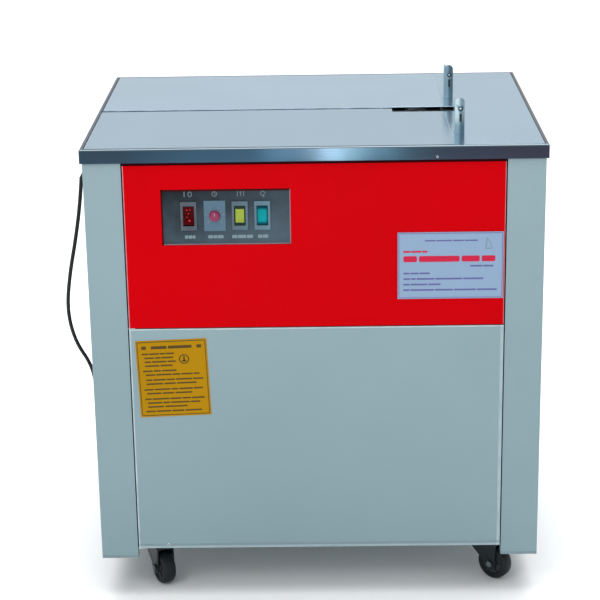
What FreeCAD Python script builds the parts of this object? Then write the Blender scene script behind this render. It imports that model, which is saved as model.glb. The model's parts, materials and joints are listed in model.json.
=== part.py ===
import FreeCAD, Part

import math
import os

# Semi automatic strapping machine. Millimetres, +Z up, the operator at -Y with +X at the right hand.
# The origin is on the floor under the middle of the table.

V = FreeCAD.Vector
ALONG_X, ALONG_Y, ALONG_Z = V(1, 0, 0), V(0, 1, 0), V(0, 0, 1)
ORIGIN = V(0, 0, 0)

# ---- driving dimensions -----------------------------------------------------------------------------
table_width = 756.0
table_depth = 596.0
table_height = 795.0
skirt_height = 23.0
rim_width = 6.0
table_sheet = 1.5
rim_bend = 2.4
overhang = 4.0               # table edge beyond the cabinet, every side

sheet = 1.5                  # cabinet steel
post_width = 62.2            # front and rear flanges of the side panels
lip_depth = 18.0
flange_width = 25.0
door_height = 399.2
shelf_drop = 4.7             # shelf underside below the top of the doors
wheel_radius = 30.0
caster_rise = 30.0           # base underside above the top of the wheels
leg_drop = 18.0              # side panels below the base
strap_line_y = -11.0         # middle of the strap slot
head_length, head_inset = 140.0, 116.0   # sealing head, and its clear distance from the table's right edge
front_depth = 15.0           # folded edge of doors and upper panels
panel_gap = 1.8
upper_panel_gap = 1.4

touch_gap = 0.3              # between curved faces that pass each other
pin_clearance = 0.05         # radial, running fits
slide_clearance = 0.2

# ---- derived places ---------------------------------------------------------------------------------
table_x, table_y = table_width / 2, table_depth / 2
cabinet_x, cabinet_y = table_x - overhang, table_y - overhang
post_x = cabinet_x - post_width
cabinet_top = table_height - skirt_height
base_level = 2 * wheel_radius + caster_rise      # underside of the base pan and of the doors
leg_bottom = base_level - leg_drop
panel_x = post_x - panel_gap
wall_inner_x = cabinet_x - sheet
lip_inner_y = cabinet_y - lip_depth
door_top = base_level + door_height
upper_bottom = door_top + upper_panel_gap
pan_top = base_level + sheet
shelf_level = door_top - shelf_drop
shelf_top = shelf_level + sheet
head_x1 = table_x - head_inset
head_x0 = head_x1 - head_length
head_top = table_height - 17.0
head_centre_y = strap_line_y - 12.0
head_y0, head_y1 = head_centre_y - 35.0, head_centre_y + 35.0
feed_x0 = head_x0 - 30.0                         # upright line on which the strap is fed
plate_bottom = table_height - table_sheet


# ---- helpers ----------------------------------------------------------------------------------------
def block(x0, x1, y0, y1, z0, z1):
    return Part.makeBox(x1 - x0, y1 - y0, z1 - z0, V(x0, y0, z0))


def centred_block(half_x, half_y, z0, z1):
    return block(-half_x, half_x, -half_y, half_y, z0, z1)


def rod(radius, start, end):
    return Part.makeCylinder(radius, (end - start).Length, start, end - start)


def fused(shapes):
    return shapes[0].multiFuse(shapes[1:]).removeSplitter()


def turned(shape, angle, centre=ORIGIN, axis=ALONG_Z):
    copy = shape.copy()
    copy.rotate(centre, axis, angle)
    return copy


def prism(points, extrusion):
    outline = Part.makePolygon([V(*p) for p in points] + [V(*points[0])])
    return Part.Face(outline).extrude(extrusion)


def export(node, *solids):
    shape = solids[0] if len(solids) == 1 else Part.makeCompound(list(solids))
    shape.exportStep("parts/%s.step" % node)


os.makedirs("parts", exist_ok=True)


# ---- cabinet ----------------------------------------------------------------------------------------
gland_y = -208.0
gland_z = cabinet_top - 14.0
gland_stub_radius = 6.9
lowest_screw, highest_screw, screw_rows = leg_bottom + 68.0, cabinet_top - 122.0, 4
screw_pitch = (highest_screw - lowest_screw) / (screw_rows - 1)
screw_inset = 28.0
screw_head_radius, screw_head_height = 4.5, 1.8


def side_panel():
    """Right-hand side: wall, front and rear posts with their return lips, top and bottom flanges."""
    parts = [block(wall_inner_x, cabinet_x, -cabinet_y, cabinet_y, leg_bottom, cabinet_top)]
    for side in (-1, 1):
        face, back = side * cabinet_y, side * (cabinet_y - sheet)
        parts.append(block(post_x, cabinet_x, min(face, back), max(face, back), leg_bottom, cabinet_top))
        inner = side * lip_inner_y
        parts.append(block(post_x, post_x + sheet, min(face, inner), max(face, inner),
                           leg_bottom, cabinet_top))
    for z in (leg_bottom, cabinet_top - sheet):
        parts.append(block(cabinet_x - flange_width, cabinet_x, -cabinet_y, cabinet_y, z, z + sheet))
    return fused(parts)


right_side_panel = side_panel()
left_side_panel = right_side_panel.mirror(ORIGIN, ALONG_X)
gland_hole = rod(gland_stub_radius, V(-cabinet_x, gland_y, gland_z), V(-wall_inner_x, gland_y, gland_z))
export("right_side_panel", right_side_panel)
export("left_side_panel", left_side_panel.cut(gland_hole))

screws = []
for side in (-1, 1):
    for y in (-cabinet_y + screw_inset, cabinet_y - screw_inset):
        for row in range(screw_rows):
            z = lowest_screw + row * screw_pitch
            screws.append(rod(screw_head_radius, V(side * cabinet_x, y, z),
                              V(side * (cabinet_x + screw_head_height), y, z)))
export("panel_screws", *screws)


def tray(z, lip_height):
    """Sheet across the cabinet with a lip along each edge, the side lips against the walls."""
    y_edge = lip_inner_y - panel_gap
    low, high = min(z, z + lip_height), max(z + sheet, z + lip_height)
    parts = [block(-wall_inner_x, wall_inner_x, -y_edge, y_edge, z, z + sheet)]
    for side in (-1, 1):
        x_in, x_out = side * (wall_inner_x - sheet), side * wall_inner_x
        parts.append(block(min(x_in, x_out), max(x_in, x_out), -y_edge, y_edge, low, high))
        y_in, y_out = side * (y_edge - sheet), side * y_edge
        parts.append(block(-wall_inner_x, wall_inner_x, min(y_in, y_out), max(y_in, y_out), low, high))
    return fused(parts)


pan_lip, shelf_lip = 20.0, 18.0
export("base_pan", tray(base_level, pan_lip))

strap_hole_length, strap_hole_width = 60.0, 46.0
shelf = tray(shelf_level, -shelf_lip)
shelf = shelf.cut(block(feed_x0 - strap_hole_length / 2, feed_x0 + strap_hole_length / 2,
                        strap_line_y - strap_hole_width / 2, strap_line_y + strap_hole_width / 2,
                        shelf_level - sheet, shelf_top + sheet))
export("mid_shelf", shelf)


# ---- front and rear closing panels ------------------------------------------------------------------
def folded_panel(z0, z1):
    """Front panel: face sheet with all four edges folded back."""
    front, back = -cabinet_y, -cabinet_y + front_depth
    outer = block(-panel_x, panel_x, front, back, z0, z1)
    hollow = block(-panel_x + sheet, panel_x - sheet, front + sheet, back + sheet, z0 + sheet, z1 - sheet)
    return outer.cut(hollow)


recess_width, recess_height, recess_depth = 210.0, 94.0, 5.0
recess_x, recess_z = -post_x + 167.8, cabinet_top - 92.5
plate_front = -cabinet_y + recess_depth
plate_margin = 7.0

vent_rows, vent_pitch, vent_length, vent_height = 6, 14.0, 90.0, 5.0
vent_columns = (-150.0, 150.0)
upper_vent_drop, door_vent_drop = 112.0, 129.2


def vents(low_z):
    slots = []
    for x in vent_columns:
        for row in range(vent_rows):
            z = low_z + row * vent_pitch
            slots.append(block(x - vent_length / 2, x + vent_length / 2,
                               -cabinet_y - sheet, -cabinet_y + 2 * sheet, z, z + vent_height))
    return slots


def recess_block(grow, y0, y1):
    return block(recess_x - recess_width / 2 - grow, recess_x + recess_width / 2 + grow, y0, y1,
                 recess_z - recess_height / 2 - grow, recess_z + recess_height / 2 + grow)


front_upper_panel = folded_panel(upper_bottom, cabinet_top)
recess_rim = recess_block(sheet, -cabinet_y, plate_front)
recess_opening = recess_block(0, -cabinet_y - sheet, plate_front + sheet)
front_upper_panel = front_upper_panel.fuse(recess_rim).removeSplitter().cut(recess_opening)
export("front_upper_panel", front_upper_panel)

rear_upper_panel = folded_panel(upper_bottom, cabinet_top).cut(vents(cabinet_top - upper_vent_drop))
export("rear_upper_panel", turned(rear_upper_panel, 180))

door_pin_radius = 1.5
door_pin_inset = 3.6
door_pin_length = 7.0
bracket_thickness, bracket_length, bracket_depth = 1.0, 12.0, 8.0
bracket_gap = 0.2
hinge_x, hinge_y = -panel_x + door_pin_inset, -cabinet_y + door_pin_inset


def door(pierced):
    leaf = folded_panel(base_level, door_top)
    if pierced:
        leaf = leaf.cut(vents(door_top - door_vent_drop))
    hole_radius = door_pin_radius + pin_clearance
    for z in (base_level, door_top - sheet):
        leaf = leaf.cut(rod(hole_radius, V(hinge_x, hinge_y, z - sheet), V(hinge_x, hinge_y, z + 2 * sheet)))
    return leaf


def door_hinge_pair():
    """Lower and upper pin of a door, each on a small bracket on the post's lip."""
    low_top = base_level - bracket_gap
    high_bottom = door_top + bracket_gap
    pair = []
    for z0, pin_end in ((low_top - bracket_thickness, low_top + door_pin_length),
                        (high_bottom, high_bottom - door_pin_length)):
        z_mid = z0 + bracket_thickness / 2
        plate = block(-post_x, -post_x + bracket_length, hinge_y - door_pin_inset + sheet,
                      hinge_y - door_pin_inset + sheet + bracket_depth, z0, z0 + bracket_thickness)
        pin = rod(door_pin_radius, V(hinge_x, hinge_y, z_mid), V(hinge_x, hinge_y, pin_end))
        pair.append(plate.fuse(pin))
    return pair


export("front_door", door(False))
export("rear_door", turned(door(True), 180))
front_pins = door_hinge_pair()
export("door_hinges", *(front_pins + [turned(pin, 180) for pin in front_pins]))


# ---- control panel ----------------------------------------------------------------------------------
control_z = recess_z + 1.5
rocker_x, knob_x, feed_x, reset_x = [recess_x + offset for offset in (-61.0, -18.5, 22.5, 59.0)]
bezel_width, bezel_height, bezel_proud = 26.0, 48.0, 2.0
bezel_body_width, bezel_body_height, bezel_body_depth = 22.6, 41.0, 24.0
opening_width, opening_height, bezel_back = 18.4, 33.6, 2.0
control_plate_thickness = 1.5
scale_width, scale_height, scale_thickness = 35.0, 51.0, 1.2
knob_radius, knob_depth, knob_shaft_radius = 9.0, 6.6, 3.0
pot_radius, pot_depth = 8.0, 11.0
plate_back = plate_front + control_plate_thickness

plate = recess_block(plate_margin, plate_front, plate_back)
for x in (rocker_x, feed_x, reset_x):
    plate = plate.cut(block(x - bezel_body_width / 2, x + bezel_body_width / 2,
                            plate_front - sheet, plate_back + sheet,
                            control_z - bezel_body_height / 2, control_z + bezel_body_height / 2))
plate = plate.cut(rod(knob_shaft_radius + pin_clearance, V(knob_x, plate_front - sheet, control_z),
                      V(knob_x, plate_back + sheet, control_z)))
export("control_panel", plate)

rocker_pin_radius, rocker_pin_length = 1.5, 1.6
rocker_pivot_y = plate_front + 5.0


def control_block(x, width, height, y0, y1):
    return block(x - width / 2, x + width / 2, y0, y1, control_z - height / 2, control_z + height / 2)


def bezel(x, pivoted):
    body = control_block(x, bezel_width, bezel_height, plate_front - bezel_proud, plate_front)
    body = body.fuse(control_block(x, bezel_body_width, bezel_body_height, plate_front,
                                   plate_front + bezel_body_depth)).removeSplitter()
    body = body.cut(control_block(x, opening_width, opening_height, plate_front - 2 * bezel_proud,
                                  plate_front + bezel_body_depth - bezel_back))
    if pivoted:
        reach = opening_width / 2 + rocker_pin_length
        body = body.cut(rod(rocker_pin_radius + pin_clearance, V(x - reach, rocker_pivot_y, control_z),
                            V(x + reach, rocker_pivot_y, control_z)))
    return body


export("switch_bezels", bezel(rocker_x, True), bezel(feed_x, False), bezel(reset_x, False))

rocker_half_length, rocker_tilt, rocker_side_gap = 15.0, 8.0, 0.4
rocker_end_proud, rocker_middle_proud, rocker_back, rocker_taper = 8.6, 6.0, 3.0, 2.0
rocker_outline = [(0, -rocker_end_proud, rocker_half_length), (0, -rocker_middle_proud, 0),
                  (0, -rocker_end_proud, -rocker_half_length),
                  (0, rocker_back, -rocker_half_length + rocker_taper),
                  (0, rocker_back, rocker_half_length - rocker_taper)]
rocker_half_width = opening_width / 2 - rocker_side_gap
rocker = prism(rocker_outline, V(2 * rocker_half_width, 0, 0))
rocker.translate(V(rocker_x - rocker_half_width, rocker_pivot_y, control_z))
pin_reach = rocker_half_width + rocker_pin_length
rocker = rocker.fuse(rod(rocker_pin_radius, V(rocker_x - pin_reach, rocker_pivot_y, control_z),
                         V(rocker_x + pin_reach, rocker_pivot_y, control_z))).removeSplitter()
export("power_rocker", turned(rocker, -rocker_tilt, V(rocker_x, rocker_pivot_y, control_z), ALONG_X))

scale_plate = control_block(knob_x, scale_width, scale_height, plate_front - scale_thickness, plate_front)
pot_back = plate_back + pot_depth
potentiometer = rod(pot_radius, V(knob_x, plate_back, control_z), V(knob_x, pot_back, control_z))
shaft_bore = rod(knob_shaft_radius + pin_clearance, V(knob_x, plate_front - 2 * sheet, control_z),
                 V(knob_x, pot_back - sheet, control_z))
export("feed_time_scale", scale_plate.cut(shaft_bore), potentiometer.cut(shaft_bore))

knob_back = plate_front - scale_thickness - touch_gap
knob_front = knob_back - knob_depth
knob = rod(knob_radius, V(knob_x, knob_front, control_z), V(knob_x, knob_back, control_z))
groove_width, groove_depth, groove_start = 1.6, 1.0, 1.5
pointer_groove = block(knob_x - groove_width / 2, knob_x + groove_width / 2, knob_front,
                       knob_front + groove_depth, control_z + groove_start, control_z + knob_radius)
knob = knob.cut(pointer_groove).fuse(rod(knob_shaft_radius, V(knob_x, knob_back, control_z),
                                         V(knob_x, pot_back - 2 * sheet, control_z)))
export("feed_time_knob", knob)

cap_side_gap, cap_proud, cap_depth, pad_proud = 0.4, 1.0, 12.0, 2.0


def button(x, pad_width, pad_height):
    """Push-button cap with its raised pad."""
    front = plate_front - cap_proud
    cap = control_block(x, opening_width - 2 * cap_side_gap, opening_height - 2 * cap_side_gap, front,
                        front + cap_depth)
    return cap.fuse(control_block(x, pad_width, pad_height, front - pad_proud, front)).removeSplitter()


export("feed_button", button(feed_x, 14.0, 22.5))
export("reset_button", button(reset_x, 15.5, 28.0))

info_width, info_height, info_thickness = 173.0, 113.5, 0.8
info_x, info_z = panel_x - 89.0, cabinet_top - 178.6
export("info_plate", block(info_x - info_width / 2, info_x + info_width / 2,
                           -cabinet_y - info_thickness, -cabinet_y,
                           info_z - info_height / 2, info_z + info_height / 2))

label_width, label_height, label_thickness, label_tilt = 119.0, 136.0, 0.3, -2.0
label_x, label_z = -panel_x + 70.6, door_top - 86.9
label = block(label_x - label_width / 2, label_x + label_width / 2, -cabinet_y - label_thickness, -cabinet_y,
              label_z - label_height / 2, label_z + label_height / 2)
export("safety_label", turned(label, label_tilt, V(label_x, -cabinet_y, label_z), ALONG_Y))


# ---- table ------------------------------------------------------------------------------------------
frame_leg = 3.0
slot_width = 9.0
head_slot_half_depth = 20.0
slot_head_x0, slot_head_x1 = head_x0 + 13.5, head_x1 - 11.5
slot_head_y0, slot_head_y1 = head_centre_y - head_slot_half_depth, head_centre_y + head_slot_half_depth
flap_right = head_x1 - 37.0
flap_gap, flap_hinge_gap, plate_seam = 1.5, 2.0, 1.0
seam_lip_end = head_x0 - 2.0
lip_height = 13.0
end_lip_clear = 47.0

skirt_inner_x, skirt_inner_y = table_x - table_sheet, table_y - table_sheet
frame_inner_x, frame_inner_y = skirt_inner_x - frame_leg, skirt_inner_y - frame_leg
rim_inner_x, rim_inner_y = table_x - rim_width, table_y - rim_width

rim = centred_block(table_x, table_y, cabinet_top, table_height)
top_edges = [e for e in rim.Edges if abs(e.CenterOfMass.z - table_height) < 0.01]
upright_edges = [e for e in rim.Edges if abs(e.CenterOfMass.z - (cabinet_top + table_height) / 2) < 0.01]
rim = rim.makeFillet(rim_bend, upright_edges + top_edges)
rim = rim.cut(centred_block(skirt_inner_x, skirt_inner_y, cabinet_top - 1, plate_bottom))
rim = rim.cut(centred_block(rim_inner_x, rim_inner_y, plate_bottom - 1, table_height + 1))
export("table_rim", rim)

frame_seat = cabinet_top + frame_leg
ring = centred_block(skirt_inner_x, skirt_inner_y, cabinet_top, plate_bottom)
ring = ring.cut(centred_block(frame_inner_x, frame_inner_y, frame_seat, plate_bottom + 1))
ring = ring.cut(centred_block(skirt_inner_x - flange_width, skirt_inner_y - flange_width, cabinet_top - 1,
                              frame_seat + 1))
export("top_frame", ring)

flap_pin_radius, knuckle_radius = 1.5, 3.5
knuckle_length, knuckle_gap = 20.0, 0.5
flap_pin_inset, flap_pin_drop = 4.0, 5.0
flap_left = -rim_inner_x + flap_gap
flap_outer_y = -rim_inner_y + flap_hinge_gap
flap_pin_y, flap_pin_z = flap_outer_y + flap_pin_inset, table_height - flap_pin_drop
flap_hinge_xs = [flap_left + (flap_right - flap_left) * share for share in (0.15, 0.5, 0.85)]
lip_bottom = plate_bottom - lip_height
end_lip_bottom = lip_bottom + 1.0
knuckle_foot, hinge_arm_near, hinge_arm_far = 8.0, 1.5, 3.0


def flap(outer_y, pin_y, inner_y, inward):
    """Lifting table flap: plate with knuckles under its outer edge, and the stiffening strips welded under
    it, one along the slot and one at each end."""
    parts = [block(flap_left, flap_right, min(outer_y, inner_y), max(outer_y, inner_y),
                   plate_bottom, table_height)]
    strip_y = inner_y - inward * table_sheet
    strips = [block(flap_left, seam_lip_end, min(strip_y, inner_y), max(strip_y, inner_y),
                    lip_bottom, plate_bottom)]
    start_y = pin_y + inward * 2 * knuckle_radius
    head_side = head_centre_y - inward * end_lip_clear
    ends = ((flap_left, inner_y - inward * 2 * table_sheet), (flap_right - table_sheet, head_side))
    for x, stop_y in ends:
        strips.append(block(x, x + table_sheet, min(start_y, stop_y), max(start_y, stop_y),
                            end_lip_bottom, plate_bottom))
    for x in flap_hinge_xs:
        for side in (-1, 1):
            near = x + side * (knuckle_length / 2 + knuckle_gap)
            far = near + side * knuckle_length / 2
            knuckle = rod(knuckle_radius, V(near, pin_y, flap_pin_z), V(far, pin_y, flap_pin_z))
            foot_y = pin_y + inward * knuckle_foot
            foot = block(min(near, far), max(near, far), min(pin_y, foot_y), max(pin_y, foot_y),
                         flap_pin_z, plate_bottom)
            parts.append(knuckle.fuse(foot))
    leaf = fused(parts)
    leaf = leaf.cut(block(slot_head_x0, slot_head_x1, slot_head_y0, slot_head_y1,
                          lip_bottom, table_height + 1))
    bore = rod(flap_pin_radius + pin_clearance, V(flap_left, pin_y, flap_pin_z),
               V(flap_right, pin_y, flap_pin_z))
    return [leaf.cut(bore)] + strips


front_inner_y, rear_inner_y = strap_line_y - slot_width / 2, strap_line_y + slot_width / 2
export("front_flap", *flap(flap_outer_y, flap_pin_y, front_inner_y, 1))
export("rear_flap", *flap(-flap_outer_y, -flap_pin_y, rear_inner_y, -1))

fixed_knuckles = []
for side in (-1, 1):
    pin_y = side * -flap_pin_y
    for x in flap_hinge_xs:
        x0, x1 = x - knuckle_length / 2, x + knuckle_length / 2
        y_near, y_far = pin_y + side * hinge_arm_near, pin_y - side * hinge_arm_far
        arm = block(x0, x1, min(y_near, y_far), max(y_near, y_far), frame_seat, flap_pin_z)
        knuckle = rod(knuckle_radius, V(x0, pin_y, flap_pin_z), V(x1, pin_y, flap_pin_z))
        pin_half = knuckle_length + knuckle_gap
        pin = rod(flap_pin_radius, V(x - pin_half, pin_y, flap_pin_z), V(x + pin_half, pin_y, flap_pin_z))
        fixed_knuckles.append(fused([arm, knuckle, pin]))
export("flap_hinges", *fixed_knuckles)

chute_half, chute_floor = 22.0, 1.5
chute_top = lip_bottom
chute = block(-frame_inner_x, head_x0, strap_line_y - chute_half, strap_line_y + chute_half,
              frame_seat, chute_top)
chute = chute.cut(block(-frame_inner_x - 1, head_x0 + 1, strap_line_y - chute_half + chute_floor,
                        strap_line_y + chute_half - chute_floor, frame_seat - 1, chute_top - chute_floor))
export("strap_chute", chute)

# ---- package stops ----------------------------------------------------------------------------------
stop_rise, stop_tail = 58.5, 27.0
stop_width, stop_leaf_depth, stop_thickness, stop_corner = 16.0, 22.0, 3.0, 7.0
stop_x0 = flap_right + 6.5
stop_front_ys = {"front_stop": -table_y + 87.0, "rear_stop": strap_line_y + 81.0}
stop_slot_width, stop_slot_height, stop_slot_drop = 4.0, 14.0, 26.0
stop_screw_radius, stop_screw_drop = 4.0, 18.0
guide_wall, guide_depth = 4.0, 28.0
stop_top = table_height + stop_rise


def stop_section(y0, grow, z0, z1):
    """L-section of a stop, grown all round by a clearance."""
    x_near, y_near = stop_x0 - grow, y0 - grow
    front_leaf = block(x_near, stop_x0 + stop_width + grow, y_near, y0 + stop_thickness + grow, z0, z1)
    side_leaf = block(x_near, stop_x0 + stop_thickness + grow, y_near, y0 + stop_leaf_depth + grow, z0, z1)
    return front_leaf.fuse(side_leaf).removeSplitter()


def rounded_above(x_edge, x_centre, y0, y1):
    """Cutter that rounds an upper corner of the stop, from the edge at x_edge in to x_centre."""
    low, high = sorted((x_centre, x_edge + math.copysign(1.0, x_edge - x_centre)))
    corner = block(low, high, y0 - 1, y1 + 1, stop_top - stop_corner, stop_top + 1)
    centre = V(x_centre, y0 - 2, stop_top - stop_corner)
    return corner.cut(Part.makeCylinder(stop_corner, y1 - y0 + 4, centre, ALONG_Y))


def package_stop(y0):
    bar = stop_section(y0, 0, table_height - stop_tail, stop_top)
    free_edge = stop_x0 + stop_width
    bar = bar.cut(rounded_above(free_edge, free_edge - stop_corner, y0, y0 + stop_thickness))
    bar = bar.cut(rounded_above(stop_x0, stop_x0 + stop_corner, y0, y0 + stop_leaf_depth))
    crop = block(stop_x0 - 1, stop_x0 + stop_thickness + 1, y0 + stop_leaf_depth - stop_corner,
                 y0 + stop_leaf_depth + 1, stop_top - stop_corner, stop_top + 1)
    centre = V(stop_x0 - 2, y0 + stop_leaf_depth - stop_corner, stop_top - stop_corner)
    bar = bar.cut(crop.cut(Part.makeCylinder(stop_corner, stop_thickness + 4, centre, ALONG_X)))
    middle_x = stop_x0 + (stop_width + stop_thickness) / 2
    slot_z = stop_top - stop_slot_drop
    bar = bar.cut(block(middle_x - stop_slot_width / 2, middle_x + stop_slot_width / 2, y0 - 1,
                        y0 + stop_thickness + 1, slot_z - stop_slot_height, slot_z))
    screw = rod(stop_screw_radius, V(middle_x, y0, stop_top - stop_screw_drop),
                V(middle_x, y0 + stop_thickness, stop_top - stop_screw_drop))
    return bar.cut(screw), screw


def stop_guide(y0):
    guide = block(stop_x0 - guide_wall, stop_x0 + stop_width + guide_wall, y0 - guide_wall,
                  y0 + stop_leaf_depth + guide_wall, plate_bottom - guide_depth, plate_bottom)
    return guide.cut(stop_section(y0, slide_clearance, plate_bottom - guide_depth - 1, plate_bottom + 1))


right_plate_left = flap_right + plate_seam
right_plate_right = rim_inner_x - 1.0
right_plate_y = rim_inner_y - 1.0
plate_lip = table_sheet
right_plate = block(right_plate_left, right_plate_right, -right_plate_y, right_plate_y,
                    frame_seat, table_height)
right_plate = right_plate.cut(block(right_plate_left + plate_lip, right_plate_right - plate_lip,
                                    -right_plate_y + plate_lip, right_plate_y - plate_lip,
                                    frame_seat - 1, plate_bottom))
right_plate = right_plate.cut(block(right_plate_left - 1, right_plate_left + plate_lip + 0.01,
                                    head_centre_y - end_lip_clear, head_centre_y + end_lip_clear,
                                    frame_seat - 1, plate_bottom))
right_plate = right_plate.cut(block(right_plate_left - 1, slot_head_x1, slot_head_y0, slot_head_y1,
                                    plate_bottom - 1, table_height + 1))
for y0 in stop_front_ys.values():
    right_plate = right_plate.cut(stop_section(y0, slide_clearance, plate_bottom - 1, table_height + 1))
export("right_table_plate", right_plate)

for node, y0 in stop_front_ys.items():
    export(node, *package_stop(y0))
export("stop_guides", *[stop_guide(y0) for y0 in stop_front_ys.values()])

# ---- sealing head -----------------------------------------------------------------------------------
head_wall, head_height = 6.0, 128.0
head_bottom = head_top - head_height
cover_level, cover_thickness, cover_margin = table_height - 8.0, 2.0, 2.0
rail_reach, rail_drop, head_foot = 40.0, 20.0, 12.0
guide_plate_thickness = 6.0
guide_plate_levels = (head_top - 76.0, head_top - 16.0)
cam_z, cam_radius, cam_throw, cam_width = head_top - 106.0, 22.0, 4.0, 12.0
cam_shaft_radius = 10.0
follower_half_depth, follower_gap = 17.0, 1.0
follower_bottom = cam_z + cam_radius + cam_throw + follower_gap
follower_y0, follower_y1 = head_centre_y - follower_half_depth, head_centre_y + follower_half_depth
followers = {"left_gripper": (head_x0 + 14.0, head_x0 + 28.0, head_top - 2.0),
             "press_anvil": (head_x0 + 38.0, head_x0 + 82.0, head_top - 5.0),
             "right_gripper": (head_x0 + 92.0, head_x0 + 108.0, head_top - 2.0)}
ear_x0, ear_thickness, ear_bottom, ear_top = head_x0 - 52.0, 4.0, head_top - 96.0, head_top - 26.0
roller_y0, roller_y1 = head_centre_y - 18.5, head_centre_y + 18.5
feed_roller_radius, pinch_roller_radius, roller_shaft_radius = 18.0, 12.0, 4.0
feed_roller_z = head_top - 73.0
pinch_roller_z = feed_roller_z + feed_roller_radius + pinch_roller_radius + 2 * touch_gap
gearbox_depth, gearbox_bore_depth = 60.0, 14.0
gearbox_y0, gearbox_y1, gearbox_z0, gearbox_z1 = head_y0 - 12.0, head_y1 + 138.0, cam_z - 72.0, cam_z + 53.0
heater_x0, heater_x1 = head_x0 + 44.0, head_x0 + 76.0
heater_level, heater_thickness = head_top + 3.0, 1.5
carrier_y0, carrier_y1 = head_y1 + 2.0, head_y1 + 24.0
carrier_z0, carrier_z1 = head_top - 2.0, head_top + 8.0
heater_rail_y1, heater_rail_margin, heater_rail_height = head_y1 + 60.0, 4.0, 8.0

head_parts = [block(head_x0, head_x1, head_y0, head_y1, head_bottom, head_top)
              .cut(block(head_x0 + head_wall, head_x1 - head_wall, head_y0 + head_wall, head_y1 - head_wall,
                         head_bottom - 1, head_top + 1))]
for level in guide_plate_levels:
    head_parts.append(block(head_x0, head_x1, head_y0, head_y1, level, level + guide_plate_thickness))
for x0, x1 in ((head_x0, head_x0 + head_wall), (head_x1 - head_wall, head_x1)):
    head_parts.append(block(x0, x1, head_y0, head_y1, shelf_top, head_bottom))
    head_parts.append(block(x0, x1, head_y0, head_y1 + rail_reach, head_top, cover_level))
    head_parts.append(block(x0, x1, head_y1, head_y1 + rail_reach, head_top - rail_drop, cover_level))
    head_parts.append(block(x0 - head_foot, x1 + head_foot, head_y0, head_y1,
                            shelf_top, shelf_top + head_wall))
for y0 in (roller_y0 - touch_gap - ear_thickness, roller_y1 + touch_gap):
    head_parts.append(block(ear_x0, head_x0, y0, y0 + ear_thickness, ear_bottom, ear_top))
head_parts.append(block(heater_x0 - heater_rail_margin, heater_x1 + heater_rail_margin,
                        head_y1, heater_rail_y1, carrier_z0 - heater_rail_height, carrier_z0))
head_frame = fused(head_parts)
for x0, x1, top in followers.values():
    head_frame = head_frame.cut(block(x0 - slide_clearance, x1 + slide_clearance,
                                      follower_y0 - slide_clearance, follower_y1 + slide_clearance,
                                      guide_plate_levels[0] - 1, head_top + 1))
for x in (head_x0, head_x1 - head_wall):
    head_frame = head_frame.cut(rod(cam_shaft_radius + pin_clearance, V(x - 1, head_centre_y, cam_z),
                                    V(x + head_wall + 1, head_centre_y, cam_z)))
for z in (feed_roller_z, pinch_roller_z):
    head_frame = head_frame.cut(rod(roller_shaft_radius + pin_clearance, V(feed_x0, head_y0, z),
                                    V(feed_x0, head_y1, z)))
export("head_frame", head_frame)

strap_window, window_width = 7.0, 20.0
window_insets = (18.0, 25.0)
cover_y0, cover_y1 = slot_head_y0 + cover_margin, slot_head_y1 - cover_margin
cover = block(head_x0 + 1, head_x1 - 1, cover_y0, cover_y1, cover_level, cover_level + cover_thickness)
for x in (slot_head_x0 + window_insets[0], slot_head_x1 - window_insets[1]):
    cover = cover.cut(block(x, x + strap_window,
                            head_centre_y - window_width / 2, head_centre_y + window_width / 2,
                            cover_level - 1, cover_level + cover_thickness + 1))
export("head_cover", cover)

for node, (x0, x1, top) in followers.items():
    export(node, block(x0, x1, follower_y0, follower_y1, follower_bottom, top))

heater_blade = block(heater_x0, heater_x1, follower_y0, (carrier_y0 + carrier_y1) / 2, heater_level,
                     heater_level + heater_thickness)
heater_block = block(heater_x0, heater_x1, carrier_y0, carrier_y1, carrier_z0, carrier_z1)
export("heater_arm", heater_blade.fuse(heater_block).removeSplitter())

cam_shaft = [rod(cam_shaft_radius, V(head_x0 - head_foot, head_centre_y, cam_z),
                 V(head_x1 + gearbox_bore_depth - 1, head_centre_y, cam_z))]
for x0, x1, top in followers.values():
    middle = (x0 + x1) / 2
    cam_shaft.append(rod(cam_radius, V(middle - cam_width / 2, head_centre_y, cam_z - cam_throw),
                         V(middle + cam_width / 2, head_centre_y, cam_z - cam_throw)))
export("cam_shaft", fused(cam_shaft))


roller_shaft_proud = 2.0


def roller(radius, z):
    barrel = rod(radius, V(feed_x0, roller_y0, z), V(feed_x0, roller_y1, z))
    reach = touch_gap + ear_thickness + roller_shaft_proud
    return barrel.fuse(rod(roller_shaft_radius, V(feed_x0, roller_y0 - reach, z),
                           V(feed_x0, roller_y1 + reach, z))).removeSplitter()


export("feed_roller", roller(feed_roller_radius, feed_roller_z))
export("pinch_roller", roller(pinch_roller_radius, pinch_roller_z))

# ---- drive ------------------------------------------------------------------------------------------
pulley_width, belt_width, belt_thickness, pulley_gap = 16.0, 12.0, 4.0, 4.0
belt_x1 = head_x1 - pulley_gap
belt_x0 = belt_x1 - pulley_width
gearbox_pulley_y, gearbox_pulley_z = head_y1 + 93.0, cam_z - 22.0
gearbox_pulley_radius, gearbox_shaft_radius = 45.0, 8.0
motor_rise, motor_radius, motor_length = 70.0, 55.0, 150.0
motor_y, motor_z = gearbox_pulley_y + 55.0, shelf_top + motor_rise
motor_pulley_radius, motor_shaft_radius = 22.5, 7.0
motor_x1 = belt_x0 - 2 * pulley_gap
motor_foot_length, motor_foot_width, motor_foot_height = 100.0, 90.0, 40.0

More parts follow.
